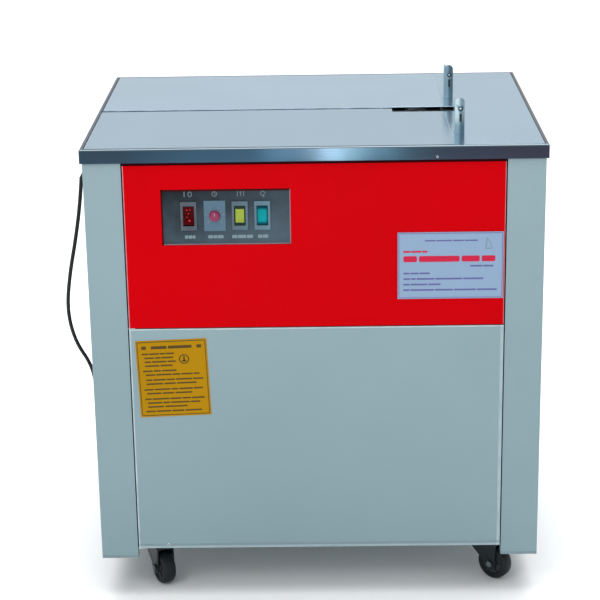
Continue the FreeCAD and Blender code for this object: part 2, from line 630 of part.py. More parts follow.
gearbox = block(head_x1, head_x1 + gearbox_depth, gearbox_y0, gearbox_y1, gearbox_z0, gearbox_z1)
gearbox = gearbox.cut(rod(cam_shaft_radius + pin_clearance, V(head_x1 - 1, head_centre_y, cam_z),
                          V(head_x1 + gearbox_bore_depth, head_centre_y, cam_z)))
gearbox = gearbox.cut(rod(gearbox_shaft_radius + pin_clearance,
                          V(head_x1 - 1, gearbox_pulley_y, gearbox_pulley_z),
                          V(head_x1 + 2 * gearbox_bore_depth, gearbox_pulley_y, gearbox_pulley_z)))
export("gearbox", gearbox)


def pulley(y, z, radius, shaft_radius, shaft_end):
    disc = rod(radius, V(belt_x0, y, z), V(belt_x1, y, z))
    shaft_start = belt_x0 if shaft_end > belt_x0 else belt_x1
    return disc.fuse(rod(shaft_radius, V(shaft_start, y, z), V(shaft_end, y, z)))


export("gearbox_pulley", pulley(gearbox_pulley_y, gearbox_pulley_z, gearbox_pulley_radius,
                                gearbox_shaft_radius, head_x1 + 2 * gearbox_bore_depth - 1))
motor_bore_depth = 10.0
export("motor_pulley", pulley(motor_y, motor_z, motor_pulley_radius, motor_shaft_radius,
                              motor_x1 - motor_bore_depth + 1))

motor = rod(motor_radius, V(motor_x1 - motor_length, motor_y, motor_z), V(motor_x1, motor_y, motor_z))
foot_x = motor_x1 - motor_length / 2
motor = motor.fuse(block(foot_x - motor_foot_length / 2, foot_x + motor_foot_length / 2,
                         motor_y - motor_foot_width / 2, motor_y + motor_foot_width / 2, shelf_top,
                         shelf_top + motor_foot_height))
motor = motor.removeSplitter().cut(rod(motor_shaft_radius + pin_clearance,
                                       V(motor_x1 - motor_bore_depth, motor_y, motor_z),
                                       V(motor_x1 + 1, motor_y, motor_z)))
export("drive_motor", motor)


def belt_face(grow):
    """Outline round both pulleys at a distance from their rims, as arcs and tangent lines."""
    (y1, z1, r1), (y2, z2, r2) = ((gearbox_pulley_y, gearbox_pulley_z, gearbox_pulley_radius + grow),
                                  (motor_y, motor_z, motor_pulley_radius + grow))
    span = math.hypot(y2 - y1, z2 - z1)
    heading = math.atan2(z2 - z1, y2 - y1)
    spread = math.acos((r1 - r2) / span)
    x = (belt_x0 + belt_x1 - belt_width) / 2

    def on(y, z, r, angle):
        return V(x, y + r * math.cos(angle), z + r * math.sin(angle))

    a, b = on(y1, z1, r1, heading + spread), on(y1, z1, r1, heading - spread)
    c, d = on(y2, z2, r2, heading - spread), on(y2, z2, r2, heading + spread)
    edges = [Part.Arc(a, on(y1, z1, r1, heading + math.pi), b).toShape(), Part.LineSegment(b, c).toShape(),
             Part.Arc(c, on(y2, z2, r2, heading), d).toShape(), Part.LineSegment(d, a).toShape()]
    return Part.Face(Part.Wire(edges))


belt = belt_face(touch_gap + belt_thickness).cut(belt_face(touch_gap)).extrude(V(belt_width, 0, 0))
export("drive_belt", belt)

# ---- strap reel, pool box, electrical board ---------------------------------------------------------
reel_x, reel_z = head_x0 - 212.0, pan_top + 200.5
disc_radius, disc_thickness, reel_half_width = 170.0, 3.0, 90.0
hub_radius, hub_wall, reel_shaft_radius, reel_shaft_half = 90.0, 3.0, 10.0, 160.0
stand_y, stand_thickness, stand_half_width, stand_foot, notch_rise = 146.0, 4.0, 80.0, 22.0, 14.0


def along_reel(radius, y0, y1):
    return rod(radius, V(reel_x, y0, reel_z), V(reel_x, y1, reel_z))


reel = [along_reel(hub_radius, -reel_half_width, reel_half_width)
        .cut(along_reel(hub_radius - hub_wall, -reel_half_width - 1, reel_half_width + 1))]
for side in (-1, 1):
    near, far = side * reel_half_width, side * (reel_half_width + disc_thickness)
    reel.append(along_reel(disc_radius, near, far))
reel_body = fused(reel).cut(along_reel(reel_shaft_radius, -reel_shaft_half, reel_shaft_half))
export("strap_reel", reel_body, along_reel(reel_shaft_radius, -reel_shaft_half, reel_shaft_half))

stands = []
for side in (-1, 1):
    near, far = side * stand_y, side * (stand_y + stand_thickness)
    foot_edge = side * (stand_y - stand_foot)
    top = reel_z + notch_rise
    upright = prism([(reel_x - stand_half_width, min(near, far), pan_top),
                     (reel_x + stand_half_width, min(near, far), pan_top),
                     (reel_x + 2 * reel_shaft_radius, min(near, far), top),
                     (reel_x - 2 * reel_shaft_radius, min(near, far), top)], V(0, stand_thickness, 0))
    foot = block(reel_x - stand_half_width, reel_x + stand_half_width,
                 min(foot_edge, far), max(foot_edge, far), pan_top, pan_top + stand_thickness)
    notch_radius = reel_shaft_radius + pin_clearance
    stand = upright.fuse(foot).removeSplitter()
    stand = stand.cut(along_reel(notch_radius, min(near, far) - 1, max(near, far) + 1))
    stands.append(stand.cut(block(reel_x - notch_radius, reel_x + notch_radius, min(near, far) - 1,
                                  max(near, far) + 1, reel_z, top + 1)))
export("reel_stand", *stands)

pool_length, pool_depth, pool_height = 180.0, 140.0, 338.5
pool_x0, pool_y0 = head_x0 - 2.0, strap_line_y - 79.0
pool_x1, pool_y1, pool_top = pool_x0 + pool_length, pool_y0 + pool_depth, pan_top + pool_height
pool = block(pool_x0, pool_x1, pool_y0, pool_y1, pan_top, pool_top)
pool = pool.cut(block(pool_x0 + sheet, pool_x1 - sheet, pool_y0 + sheet, pool_y1 - sheet, pan_top + sheet,
                      pool_top + 1))
export("pool_box", pool)

board_width, board_depth, board_thickness = 210.0, 170.0, 3.0
board_x0, board_y0 = -wall_inner_x + 42.5, strap_line_y + 51.0
board = [block(board_x0, board_x0 + board_width, board_y0, board_y0 + board_depth, shelf_top,
               shelf_top + board_thickness)]
transformer, relay_row = (12, 15, 78, 84, 74), (105, 20, 90, 55, 28)
capacitors = ((105, 95, 40, 52, 62), (155, 95, 40, 52, 62))
for dx, dy, width, depth, height in (transformer, relay_row) + capacitors:
    x, y, z = board_x0 + dx, board_y0 + dy, shelf_top + board_thickness
    board.append(block(x, x + width, y, y + depth, z, z + height))
export("electrical_board", fused(board))

# ---- casters ----------------------------------------------------------------------------------------
caster_x, caster_y = cabinet_x - 87.0, cabinet_y - 79.0
wheel_half, tread_fillet = 12.0, 5.0
caster_offset, axle_radius, axle_overhang, axle_head = 28.0, 4.0, 3.0, 2.5
fork_gap, fork_sheet, crown_radius = 1.5, 2.5, 23.0
crown_level, race_level = 2 * wheel_radius + 6.0, 2 * wheel_radius + 19.0
fork_front, fork_rear, fork_skirt, eye_radius = 18.0, caster_offset + 10.0, 6.0, 10.0
plate_half_x, plate_half_y, caster_plate_thickness = 33.0, 30.0, 2.5
kingpin_radius, kingpin_nut_radius, kingpin_nut_height, swivel_gap = 5.0, 8.0, 3.0, 0.4
casters = {"front_left": (-caster_x, -caster_y, -62.0), "front_right": (caster_x, -caster_y, -40.0),
           "rear_left": (-caster_x, caster_y, 35.0), "rear_right": (caster_x, caster_y, 150.0)}
fork_inner = wheel_half + fork_gap
fork_outer = fork_inner + fork_sheet


def placed(shape, x, y, angle):
    copy = turned(shape, angle)
    copy.translate(V(x, y, 0))
    return copy


def across(radius, half):
    """Cylinder along the axle of a caster that trails towards +X."""
    return rod(radius, V(caster_offset, -half, wheel_radius), V(caster_offset, half, wheel_radius))


wheel = across(wheel_radius, wheel_half)
wheel = wheel.makeFillet(tread_fillet, [e for e in wheel.Edges if e.Closed])
wheel = wheel.cut(across(axle_radius + pin_clearance, wheel_half + 1))

crown = [Part.makeCylinder(crown_radius, race_level - crown_level, V(0, 0, crown_level)),
         block(-fork_front, fork_rear, -fork_outer, fork_outer, crown_level, crown_level + fork_sheet)]
for y in (-fork_outer, fork_inner):
    leg = prism([(-fork_front, y, crown_level + fork_sheet), (fork_rear, y, crown_level + fork_sheet),
                 (fork_rear, y, wheel_radius), (caster_offset - eye_radius, y, wheel_radius),
                 (-fork_front, y, crown_level - fork_skirt)], V(0, fork_sheet, 0))
    eye = rod(eye_radius, V(caster_offset, y, wheel_radius), V(caster_offset, y + fork_sheet, wheel_radius))
    crown += [leg, eye]
kingpin_bore = Part.makeCylinder(kingpin_radius + pin_clearance, race_level, V(0, 0, crown_level - 1))
fork = fused(crown).cut(kingpin_bore)
fork = fork.cut(across(axle_radius, fork_outer + 1))
axle = [across(axle_radius, fork_outer + axle_overhang)]
for y in (-fork_outer - axle_overhang, fork_outer):
    axle.append(rod(axle_radius + axle_head, V(caster_offset, y, wheel_radius),
                    V(caster_offset, y + axle_overhang, wheel_radius)))
axle = fused(axle)

kingpin_end = crown_level - swivel_gap - kingpin_nut_height
mount = [block(-plate_half_x, plate_half_x, -plate_half_y, plate_half_y, base_level - caster_plate_thickness,
               base_level),
         Part.makeCylinder(crown_radius, base_level - caster_plate_thickness - race_level - swivel_gap,
                           V(0, 0, race_level + swivel_gap)),
         Part.makeCylinder(kingpin_radius, base_level - kingpin_end, V(0, 0, kingpin_end)),
         Part.makeCylinder(kingpin_nut_radius, kingpin_nut_height, V(0, 0, kingpin_end))]
mount = fused(mount)

mounts = []
for name, (x, y, angle) in casters.items():
    export("caster_fork_" + name, placed(fork, x, y, angle), placed(axle, x, y, angle))
    export("caster_wheel_" + name, placed(wheel, x, y, angle))
    mounts.append(placed(mount, x, y, 0))
export("caster_plates", *mounts)

# ---- power cord -------------------------------------------------------------------------------------
cord_diameter = 6.5
cord_radius = cord_diameter / 2
lie = cord_radius + 0.05     # centre line above the floor
cord_route = [(-387.5, -208, 724), (-391.5, -208, 684), (-402, -208, 622), (-415.5, -207, 560),
              (-424, -205, 494), (-413, -202, 436), (-388, -196, 392), (-382.5, -182, 338),
              (-383, -157, 276), (-382.5, -126, 212), (-383.5, -90, 150), (-384, -46, 94),
              (-386, 8, 48), (-389, 68, 15), (-387, 130, lie), (-380, 192, lie),
              (-366, 252, lie), (-340, 306, lie), (-302, 348, lie)]


def cord_path(route):
    """Straight runs joined by tangent arcs; prints each arc's radius."""
    points = [V(*p) for p in route]
    runs = [(points[i + 1] - points[i]).Length for i in range(len(points) - 1)]
    edges, start, radii = [], points[0], []
    for i in range(1, len(points) - 1):
        before = (points[i] - points[i - 1]).normalize()
        after = (points[i + 1] - points[i]).normalize()
        reach = 0.45 * min(runs[i - 1], runs[i])
        turn = before.getAngle(after)
        radius = reach / math.tan(turn / 2)
        radii.append(radius)
        enter, leave = points[i] - before * reach, points[i] + after * reach
        inward = (after - before).normalize()
        middle = points[i] + inward * (radius / math.cos(turn / 2) - radius)
        edges.append(Part.LineSegment(start, enter).toShape())
        edges.append(Part.Arc(enter, middle, leave).toShape())
        start = leave
    edges.append(Part.LineSegment(start, points[-1]).toShape())
    print("cord arc radii, mm:", [round(r) for r in radii])
    return Part.Wire(edges)


cord_wire = cord_path(cord_route)
first_run = V(*cord_route[1]) - V(*cord_route[0])
section = Part.Wire(Part.Circle(V(*cord_route[0]), first_run, cord_radius).toShape())
tube = cord_wire.makePipeShell([section], True, False)
ideal = cord_wire.Length * math.pi * cord_radius ** 2
print("cord tube length %.1f mm, volume ratio %.4f" % (cord_wire.Length, tube.Volume / ideal))
export("cord_tube", tube)

turn_radii = (43.2, 36.7, 30.2)
coil_layers = 2
last, before_last = V(*cord_route[-1]), V(*cord_route[-2])
heading = (last - before_last).normalize()
coil_centre = last + V(-heading.y, heading.x, 0) * turn_radii[0]
coil_height = coil_layers * cord_diameter + 0.3
coil_outer, coil_inner = turn_radii[0] + cord_radius + 0.1, turn_radii[-1] - cord_radius - 0.1
coil_base = V(coil_centre.x, coil_centre.y, 0)
coil = Part.makeCylinder(coil_outer, coil_height, coil_base)
coil = coil.cut(Part.makeCylinder(coil_inner, coil_height, coil_base))
coil_length = coil_layers * sum(2 * math.pi * r for r in turn_radii)
print("cord coil length %.0f mm, centre (%.1f, %.1f)" % (coil_length, coil_centre.x, coil_centre.y))
export("cord_coil", coil)

plug_x, plug_y1 = coil_centre.x - turn_radii[0], coil_centre.y - 12.0
plug_z, plug_length, plug_half_width, plug_half_height, plug_fillet = 11.2, 36.0, 13.0, 11.0, 4.0
sleeve_length, sleeve_tip_radius, sleeve_root_radius, sleeve_drop = 28.0, 4.2, 7.0, 1.4
pin_length, pin_radius, pin_half_pitch = 19.0, 2.4, 9.5
plug_body_y1 = plug_y1 - sleeve_length
plug_body_y0 = plug_body_y1 - plug_length
plug = block(plug_x - plug_half_width, plug_x + plug_half_width, plug_body_y0, plug_body_y1,
             plug_z - plug_half_height, plug_z + plug_half_height)
plug = plug.makeFillet(plug_fillet, [e for e in plug.Edges if abs(e.tangentAt(0).y) > 0.99])
sleeve = Part.makeCone(sleeve_tip_radius, sleeve_root_radius, sleeve_length,
                       V(plug_x, plug_y1, plug_z - sleeve_drop), V(0, -1, 0))
plug_parts = [plug, sleeve]
for side in (-1, 1):
    x = plug_x + side * pin_half_pitch
    plug_parts.append(rod(pin_radius, V(x, plug_body_y0, plug_z), V(x, plug_body_y0 - pin_length, plug_z)))
export("cord_plug", fused(plug_parts))

gland_width, gland_depth, gland_height, gland_fillet, gland_stub_inside = 20.0, 18.0, 18.0, 3.0, 5.0
gland_sleeve_length, gland_sleeve_radius, cord_stand_off = 34.0, 6.5, 13.5
gland_body = block(-cabinet_x - gland_depth, -cabinet_x,
                   gland_y - gland_width / 2, gland_y + gland_width / 2,
                   gland_z - gland_height / 2, gland_z + gland_height / 2)
outer_edges = [e for e in gland_body.Edges if e.CenterOfMass.x < -cabinet_x - 1]
gland_body = gland_body.makeFillet(gland_fillet, outer_edges)
stub = rod(gland_stub_radius, V(-cabinet_x, gland_y, gland_z),
           V(-wall_inner_x + gland_stub_inside, gland_y, gland_z))
exit_point = V(-cabinet_x - cord_stand_off, gland_y, gland_z - gland_sleeve_length)
sleeve = Part.makeCone(sleeve_tip_radius, gland_sleeve_radius, gland_sleeve_length, exit_point,
                       first_run * -1)
export("cord_gland", fused([gland_body, stub, sleeve]))
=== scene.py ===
import json
import math

import bmesh
import bpy
from mathutils import Matrix, Vector


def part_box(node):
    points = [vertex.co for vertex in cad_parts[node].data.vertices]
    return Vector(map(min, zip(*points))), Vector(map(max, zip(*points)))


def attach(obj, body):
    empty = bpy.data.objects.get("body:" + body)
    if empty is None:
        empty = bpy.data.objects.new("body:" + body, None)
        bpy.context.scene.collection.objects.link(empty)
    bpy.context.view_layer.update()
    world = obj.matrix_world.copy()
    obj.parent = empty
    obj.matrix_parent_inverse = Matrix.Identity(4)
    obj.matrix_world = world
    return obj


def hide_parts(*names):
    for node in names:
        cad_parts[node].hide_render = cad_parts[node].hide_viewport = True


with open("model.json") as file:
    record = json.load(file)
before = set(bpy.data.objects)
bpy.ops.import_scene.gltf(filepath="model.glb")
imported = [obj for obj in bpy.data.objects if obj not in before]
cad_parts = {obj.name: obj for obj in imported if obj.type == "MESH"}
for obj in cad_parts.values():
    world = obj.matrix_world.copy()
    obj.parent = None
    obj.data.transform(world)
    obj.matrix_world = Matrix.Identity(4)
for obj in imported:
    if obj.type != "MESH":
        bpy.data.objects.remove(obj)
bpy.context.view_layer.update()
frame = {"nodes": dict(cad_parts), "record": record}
nodes = frame["nodes"]
node_slot = {part["node"]: part["material_slot"] for part in frame["record"]["subparts"]}
MM = 0.001


def box_mm(node):
    """Lowest and highest corner of a node at rest, in millimetres."""
    return tuple(Vector(corner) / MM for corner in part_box(node))


# ---- material nodes -----------------------------------------------------------------------------------
class Material:
    """A Principled material whose texture nodes are added one by one, all in object coordinates (metres)."""

    def __init__(self, name, colour, metallic=0.0, roughness=0.5, **sockets):
        self.material = bpy.data.materials.new(name)
        self.material.use_nodes = True
        self.tree = self.material.node_tree
        self.shader = self.tree.nodes["Principled BSDF"]
        self.colour = (*colour[:3], 1.0)
        self.shader.inputs["Base Color"].default_value = self.colour
        self.shader.inputs["Metallic"].default_value = metallic
        self.shader.inputs["Roughness"].default_value = roughness
        for socket, value in sockets.items():
            self.shader.inputs[socket.replace("_", " ")].default_value = value
        self.material.diffuse_color = self.colour

    def node(self, kind, inputs=(), **settings):
        made = self.tree.nodes.new(kind)
        for key, value in settings.items():
            setattr(made, key, value)
        for socket, value in dict(inputs).items():
            if isinstance(value, bpy.types.NodeSocket):
                self.tree.links.new(value, made.inputs[socket])
            else:
                made.inputs[socket].default_value = value
        return made

    def link(self, source, socket):
        self.tree.links.new(source, self.shader.inputs[socket])

    def place(self, scale=(1, 1, 1), offset=(0, 0, 0)):
        coordinates = self.node("ShaderNodeTexCoord")
        return self.node("ShaderNodeMapping", {"Vector": coordinates.outputs["Object"], "Scale": scale,
                                               "Location": offset}).outputs["Vector"]

    def noise(self, scale, detail=4.0, stretch=(1, 1, 1), roughness=0.55, offset=(0, 0, 0)):
        return self.node("ShaderNodeTexNoise", {"Vector": self.place(stretch, offset), "Scale": scale,
                                                "Detail": detail, "Roughness": roughness}).outputs["Fac"]

    def between(self, value, low, high, out_low, out_high):
        return self.node("ShaderNodeMapRange", {"Value": value, "From Min": low, "From Max": high,
                                                "To Min": out_low, "To Max": out_high}).outputs["Result"]

    def along(self, axis):
        return self.node("ShaderNodeSeparateXYZ", {"Vector": self.place()}).outputs[axis]

    def times(self, first, second):
        return self.node("ShaderNodeMath", {0: first, 1: second}, operation="MULTIPLY").outputs[0]

    def mix(self, factor, first, second, blend="MIX"):
        made = self.tree.nodes.new("ShaderNodeMix")
        made.data_type, made.blend_type = "RGBA", blend
        for socket, value in ((made.inputs[0], factor), (made.inputs[6], first), (made.inputs[7], second)):
            if isinstance(value, bpy.types.NodeSocket):
                self.tree.links.new(value, socket)
            else:
                socket.default_value = value
        return made.outputs[2]

    def bump(self, height, strength, distance):
        made = self.node("ShaderNodeBump", {"Height": height, "Strength": strength, "Distance": distance})
        if self.shader.inputs["Normal"].is_linked:
            self.tree.links.new(self.shader.inputs["Normal"].links[0].from_socket, made.inputs["Normal"])
        self.link(made.outputs["Normal"], "Normal")


def shade(colour, factor):
    return tuple(min(1.0, c * factor) for c in colour[:3]) + (1.0,)


FOLD_BLUR = 0.0004
CREVICE_SHADE_REACH = 0.014


def rubbed(m, tinted, light_and_shade_bands):
    """Painted highlights and shade along folds and edges: (axis, from, to, colour, strength), in metres,
    patchy.
    """
    for axis, start, stop, tone, strength in light_and_shade_bands:
        at = m.along(axis)
        rise = m.between(at, start - FOLD_BLUR, start + FOLD_BLUR, 0.0, 1.0)
        fall = m.between(at, stop - FOLD_BLUR, stop + FOLD_BLUR, 1.0, 0.0)
        patchiness = m.between(m.noise(35.0, 4.0, offset=(0.3, 0, 0)), 0.25, 0.65, 0.35 * strength, strength)
        tinted = m.mix(m.times(m.times(rise, fall), patchiness), tinted, tone)
    return tinted


def painted(name, colour, roughness=0.38, mottle=0.06, peel=0.00012, grime=0.12, floor_shade=1.0,
            crevice_shade=0.0, light_and_shade_bands=(), **sockets):
    """Sprayed paint: faint mottling, orange peel, settled dust, painted shade that makes the tone duller
    towards the floor, painted shade in the crevices, and painted highlights and shade along folds and edges."""
    m = Material(name, colour, roughness=roughness, **sockets)
    clouds = m.noise(3.1, 5.0)
    share = m.between(clouds, 0.3, 0.7, 0.0, 1.0)
    tinted = m.mix(share, shade(colour, 1 - mottle), shade(colour, 1 + mottle))
    specks = m.between(m.noise(46.0, 6.0, roughness=0.7), 0.62, 0.80, 0.0, grime)
    dusty = tuple(0.55 * c + 0.22 for c in colour[:3]) + (1.0,)
    tinted = m.mix(specks, tinted, dusty)
    # Painted shade: the tone is made darker towards the floor.
    if floor_shade < 1.0:
        floor_shade_share = m.between(m.along("Z"), 0.08, 0.74, 1.0, 0.0)
        tinted = m.mix(floor_shade_share, tinted, (floor_shade, floor_shade + 0.05, floor_shade + 0.05, 1), "MULTIPLY")
    tinted = rubbed(m, tinted, light_and_shade_bands)
    # Painted shade: an ambient occlusion node darkens the colour in crevices, gaps and under overhangs.
    if crevice_shade:
        corner = m.node("ShaderNodeAmbientOcclusion", {"Distance": CREVICE_SHADE_REACH}, samples=6).outputs["AO"]
        tinted = m.mix(m.between(corner, 0.35, 0.85, crevice_shade, 0.0), tinted, (0.10, 0.10, 0.11, 1), "MULTIPLY")
    m.link(tinted, "Base Color")
    m.link(m.between(m.noise(11.0, 5.0), 0.3, 0.7, roughness - 0.05, roughness + 0.10), "Roughness")
    m.bump(m.noise(900.0, 2.0), 0.25, peel)
    m.bump(m.noise(7.0, 2.0), 0.35, 0.0009)
    return m.material


def brushed(name, colour, roughness=0.30, along="X", contrast=0.10, scratch=0.00005, smear=0.08, light_and_shade_bands=(),
            **sockets):
    """Stainless or ground steel: streaks along one axis in colour, roughness and height, with smudges."""
    m = Material(name, colour, metallic=1.0, roughness=roughness, **sockets)
    stretch = {"X": (0.012, 1, 1), "Y": (1, 0.012, 1), "Z": (1, 1, 0.012)}[along]
    streaks = m.noise(1400.0, 3.0, stretch)
    broad = m.noise(160.0, 3.0, stretch)
    smudge = m.noise(5.0, 5.0, roughness=0.6)
    share = m.between(streaks, 0.3, 0.7, 0.0, 1.0)
    tone = m.mix(share, shade(colour, 1 - contrast), shade(colour, 1 + contrast))
    tone = m.mix(m.between(broad, 0.35, 0.7, 0.0, 0.35), tone, shade(colour, 0.92))
    tone = m.mix(m.between(smudge, 0.5, 0.75, 0.0, 0.16), tone, shade(colour, 0.88))
    m.link(rubbed(m, tone, light_and_shade_bands), "Base Color")
    m.link(m.between(smudge, 0.3, 0.75, roughness - smear * 0.3, roughness + smear), "Roughness")
    m.bump(streaks, 0.5, scratch)
    return m.material


def moulded(name, colour, roughness=0.42, grain=0.00006, mottle=0.05, **sockets):
    """Moulded plastic or rubber: fine grain and slight changes of tone."""
    m = Material(name, colour, roughness=roughness, **sockets)
    m.link(m.mix(m.between(m.noise(40.0, 5.0), 0.3, 0.7, 0.0, 1.0), shade(colour, 1 - mottle),
                 shade(colour, 1 + mottle)), "Base Color")
    m.link(m.between(m.noise(120.0, 4.0), 0.3, 0.7, roughness - 0.06, roughness + 0.08), "Roughness")
    m.bump(m.noise(1700.0, 3.0), 0.4, grain)
    return m.material


CABINET = (0.251, 0.351, 0.386)
RED = (0.545, 0.0, 0.003)


def striped_bezel():
    """Bezels painted in a tone that runs from smoky grey at the left one to pale blue at the right one."""
    m = Material("bezel plastic", (0.12, 0.16, 0.20), roughness=0.32, Specular_IOR_Level=0.35)
    share = m.between(m.along("X"), -0.150, -0.075, 0.0, 1.0)
    grain = m.between(m.noise(60.0, 4.0), 0.3, 0.7, 0.0, 0.3)
    tone = m.mix(share, (0.058, 0.074, 0.100, 1), (0.088, 0.185, 0.245, 1))
    m.link(m.mix(grain, tone, (0.10, 0.14, 0.17, 1)), "Base Color")
    m.bump(m.noise(1500.0, 3.0), 0.3, 0.00005)
    return m.material


def lit_pad(name, centre, half, pad, surround, blur=0.0003):
    """Push button: a clear coloured pad in a darker surround, with the moulded ridge between them."""
    m = Material(name, pad, roughness=0.3, Specular_IOR_Level=0.06)

    def inside(axis, middle, reach):
        off = m.node("ShaderNodeMath", {0: m.along(axis), 1: middle}, operation="SUBTRACT").outputs[0]
        size = m.node("ShaderNodeMath", {0: off}, operation="ABSOLUTE").outputs[0]
        return m.between(size, reach - blur, reach + blur, 1.0, 0.0)

    mask = m.times(inside("X", centre[0], half[0]), inside("Z", centre[1], half[1]))
    cloud = m.mix(m.between(m.noise(90.0, 3.0), 0.3, 0.7, 0.0, 1.0), shade(pad, 0.88), shade(pad, 1.1))
    m.link(m.mix(mask, surround, cloud), "Base Color")
    m.bump(m.noise(1300.0, 2.0), 0.3, 0.00005)
    return m.material


STOP_SCREW, STOP_SCREW_RADIUS = (241.0, 835.5), 4.0
STOP_SLOT = (241.0, 820.5)


def stop_steel():
    """Bright stop leaves with a painted reflection that makes them light on the left and dark on the right,
    with the dark button-head screw set in the front leaf.
    """
    m = Material("stop steel", (0.45, 0.56, 0.60), metallic=1.0, roughness=0.2)
    streaks = m.noise(1500.0, 3.0, (1, 1, 0.015))
    # Painted reflection: light left of x = 237.5 mm, dark right of x = 241.5 mm.
    reflection_share = m.between(m.along("X"), 0.2375, 0.2415, 0.0, 1.0)
    leaf = m.mix(reflection_share, (0.50, 0.66, 0.73, 1), (0.15, 0.235, 0.28, 1))
    leaf = m.mix(m.between(streaks, 0.3, 0.7, 0.0, 0.35), leaf, (0.16, 0.22, 0.25, 1))
    flat = m.node("ShaderNodeCombineXYZ", {"X": m.along("X"), "Z": m.along("Z")}).outputs[0]
    middle = (STOP_SCREW[0] * MM, 0.0, STOP_SCREW[1] * MM)
    reach = m.node("ShaderNodeVectorMath", {0: flat, 1: middle}, operation="DISTANCE").outputs["Value"]
    screw = m.between(reach, (STOP_SCREW_RADIUS - 0.1) * MM, (STOP_SCREW_RADIUS + 0.1) * MM, 1.0, 0.0)
    m.link(m.mix(screw, leaf, (0.035, 0.055, 0.065, 1)), "Base Color")
    m.link(m.between(m.noise(30.0, 4.0), 0.3, 0.7, 0.26, 0.38), "Roughness")
    m.bump(streaks, 0.4, 0.00004)
    return m.material


def rim_finish():
    """Dark mirror-finished skirt steel with painted reflections: a purplish stretch towards the right end,
    two bluer stretches, and a painted highlight along the front top edge.
    """
    m = Material("rim stainless", (0.034, 0.056, 0.080), metallic=1.0, roughness=0.09)
    streaks = m.noise(1400.0, 3.0, (0.012, 1, 1))
    base = m.mix(m.between(streaks, 0.3, 0.7, 0.0, 1.0), (0.031, 0.055, 0.082, 1), (0.041, 0.072, 0.106, 1))
    # Painted reflection: the skirt turns purplish towards its right end.
    base = m.mix(m.between(m.along("X"), 0.06, 0.34, 0.0, 0.8), base, (0.046, 0.042, 0.064, 1))
    # Painted reflections: two bluer stretches along the skirt.
    for rise, fall, tone in (((-0.31, -0.19), (-0.07, 0.0), (0.045, 0.100, 0.155, 1)),
                             ((0.03, 0.08), (0.13, 0.20), (0.044, 0.088, 0.125, 1))):
        blue = m.times(m.between(m.along("X"), *rise, 0.0, 1.0), m.between(m.along("X"), *fall, 1.0, 0.0))
        base = m.mix(blue, base, tone)
    low, high = (Vector(corner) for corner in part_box("table_rim"))
    # Painted highlight along the front top edge of the skirt.
    top = m.between(m.along("Z"), high.z - 0.0030, high.z - 0.0014, 0.0, 1.0)
    near = m.between(m.along("Y"), low.y + 0.0065, low.y + 0.0075, 1.0, 0.0)
    edge_highlight = m.times(top, near)
    m.link(m.mix(edge_highlight, base, (0.135, 0.175, 0.205, 1)), "Base Color")
    m.link(m.between(m.noise(9.0, 4.0), 0.3, 0.75, 0.07, 0.13), "Roughness")
    m.bump(streaks, 0.5, 0.00001)
    return m.material


def plate_finish():
    """Slate control plate, which catches more light towards its lower right."""
    m = Material("control plate", (0.03, 0.045, 0.06), roughness=0.4, Specular_IOR_Level=0.15)
    lower = m.between(m.along("Z"), 0.640, 0.722, 0.6, 0.0)
    right = m.between(m.along("X"), -0.22, -0.05, 0.0, 0.5)
    share = m.node("ShaderNodeMath", {0: lower, 1: right}).outputs[0]
    clouds = m.between(m.noise(28.0, 4.0), 0.3, 0.7, -0.15, 0.15)
    cloud = m.node("ShaderNodeMath", {0: share, 1: clouds}).outputs[0]
    m.link(m.mix(cloud, (0.006, 0.010, 0.015, 1), (0.064, 0.100, 0.130, 1)), "Base Color")
    m.link(m.between(m.noise(60.0, 4.0), 0.3, 0.75, 0.34, 0.48), "Roughness")
    m.bump(m.noise(950.0, 2.0), 0.3, 0.00008)
    return m.material


# Cabinet paint with painted shade towards the floor and in the crevices.
def cabinet_paint(name, light_and_shade_bands=()):
    return painted(name, CABINET, 0.34, mottle=0.035, grime=0.05, floor_shade=0.77, crevice_shade=0.6, light_and_shade_bands=light_and_shade_bands,
                   Specular_IOR_Level=0.4)


def table_sheet(name, colour, light_and_shade_bands=()):
    return brushed(name, colour, 0.17, contrast=0.03, scratch=0.00001, smear=0.03, light_and_shade_bands=light_and_shade_bands)


def ink(name, colour, mottle=0.2, **sockets):
    return painted(name, colour, 0.5, mottle=mottle, peel=0.00003, **sockets)


def button(name, node, half, pad, surround, blur=0.0003):
    low, high = (Vector(corner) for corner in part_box(node))
    middle = (low + high) / 2
    return lit_pad(name, (middle.x, middle.z), half, pad, surround, blur)


# Colours for painted highlight and painted shadow bands along panel edges.
PINK_EDGE_HIGHLIGHT = (0.62, 0.40, 0.43, 1)
HEM_SHADOW = (0.13, 0.18, 0.20, 1)
red_low, red_high = (Vector(corner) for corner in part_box("front_upper_panel"))
door_low, door_high = (Vector(corner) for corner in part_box("front_door"))
post_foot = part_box("left_side_panel")[0][2]

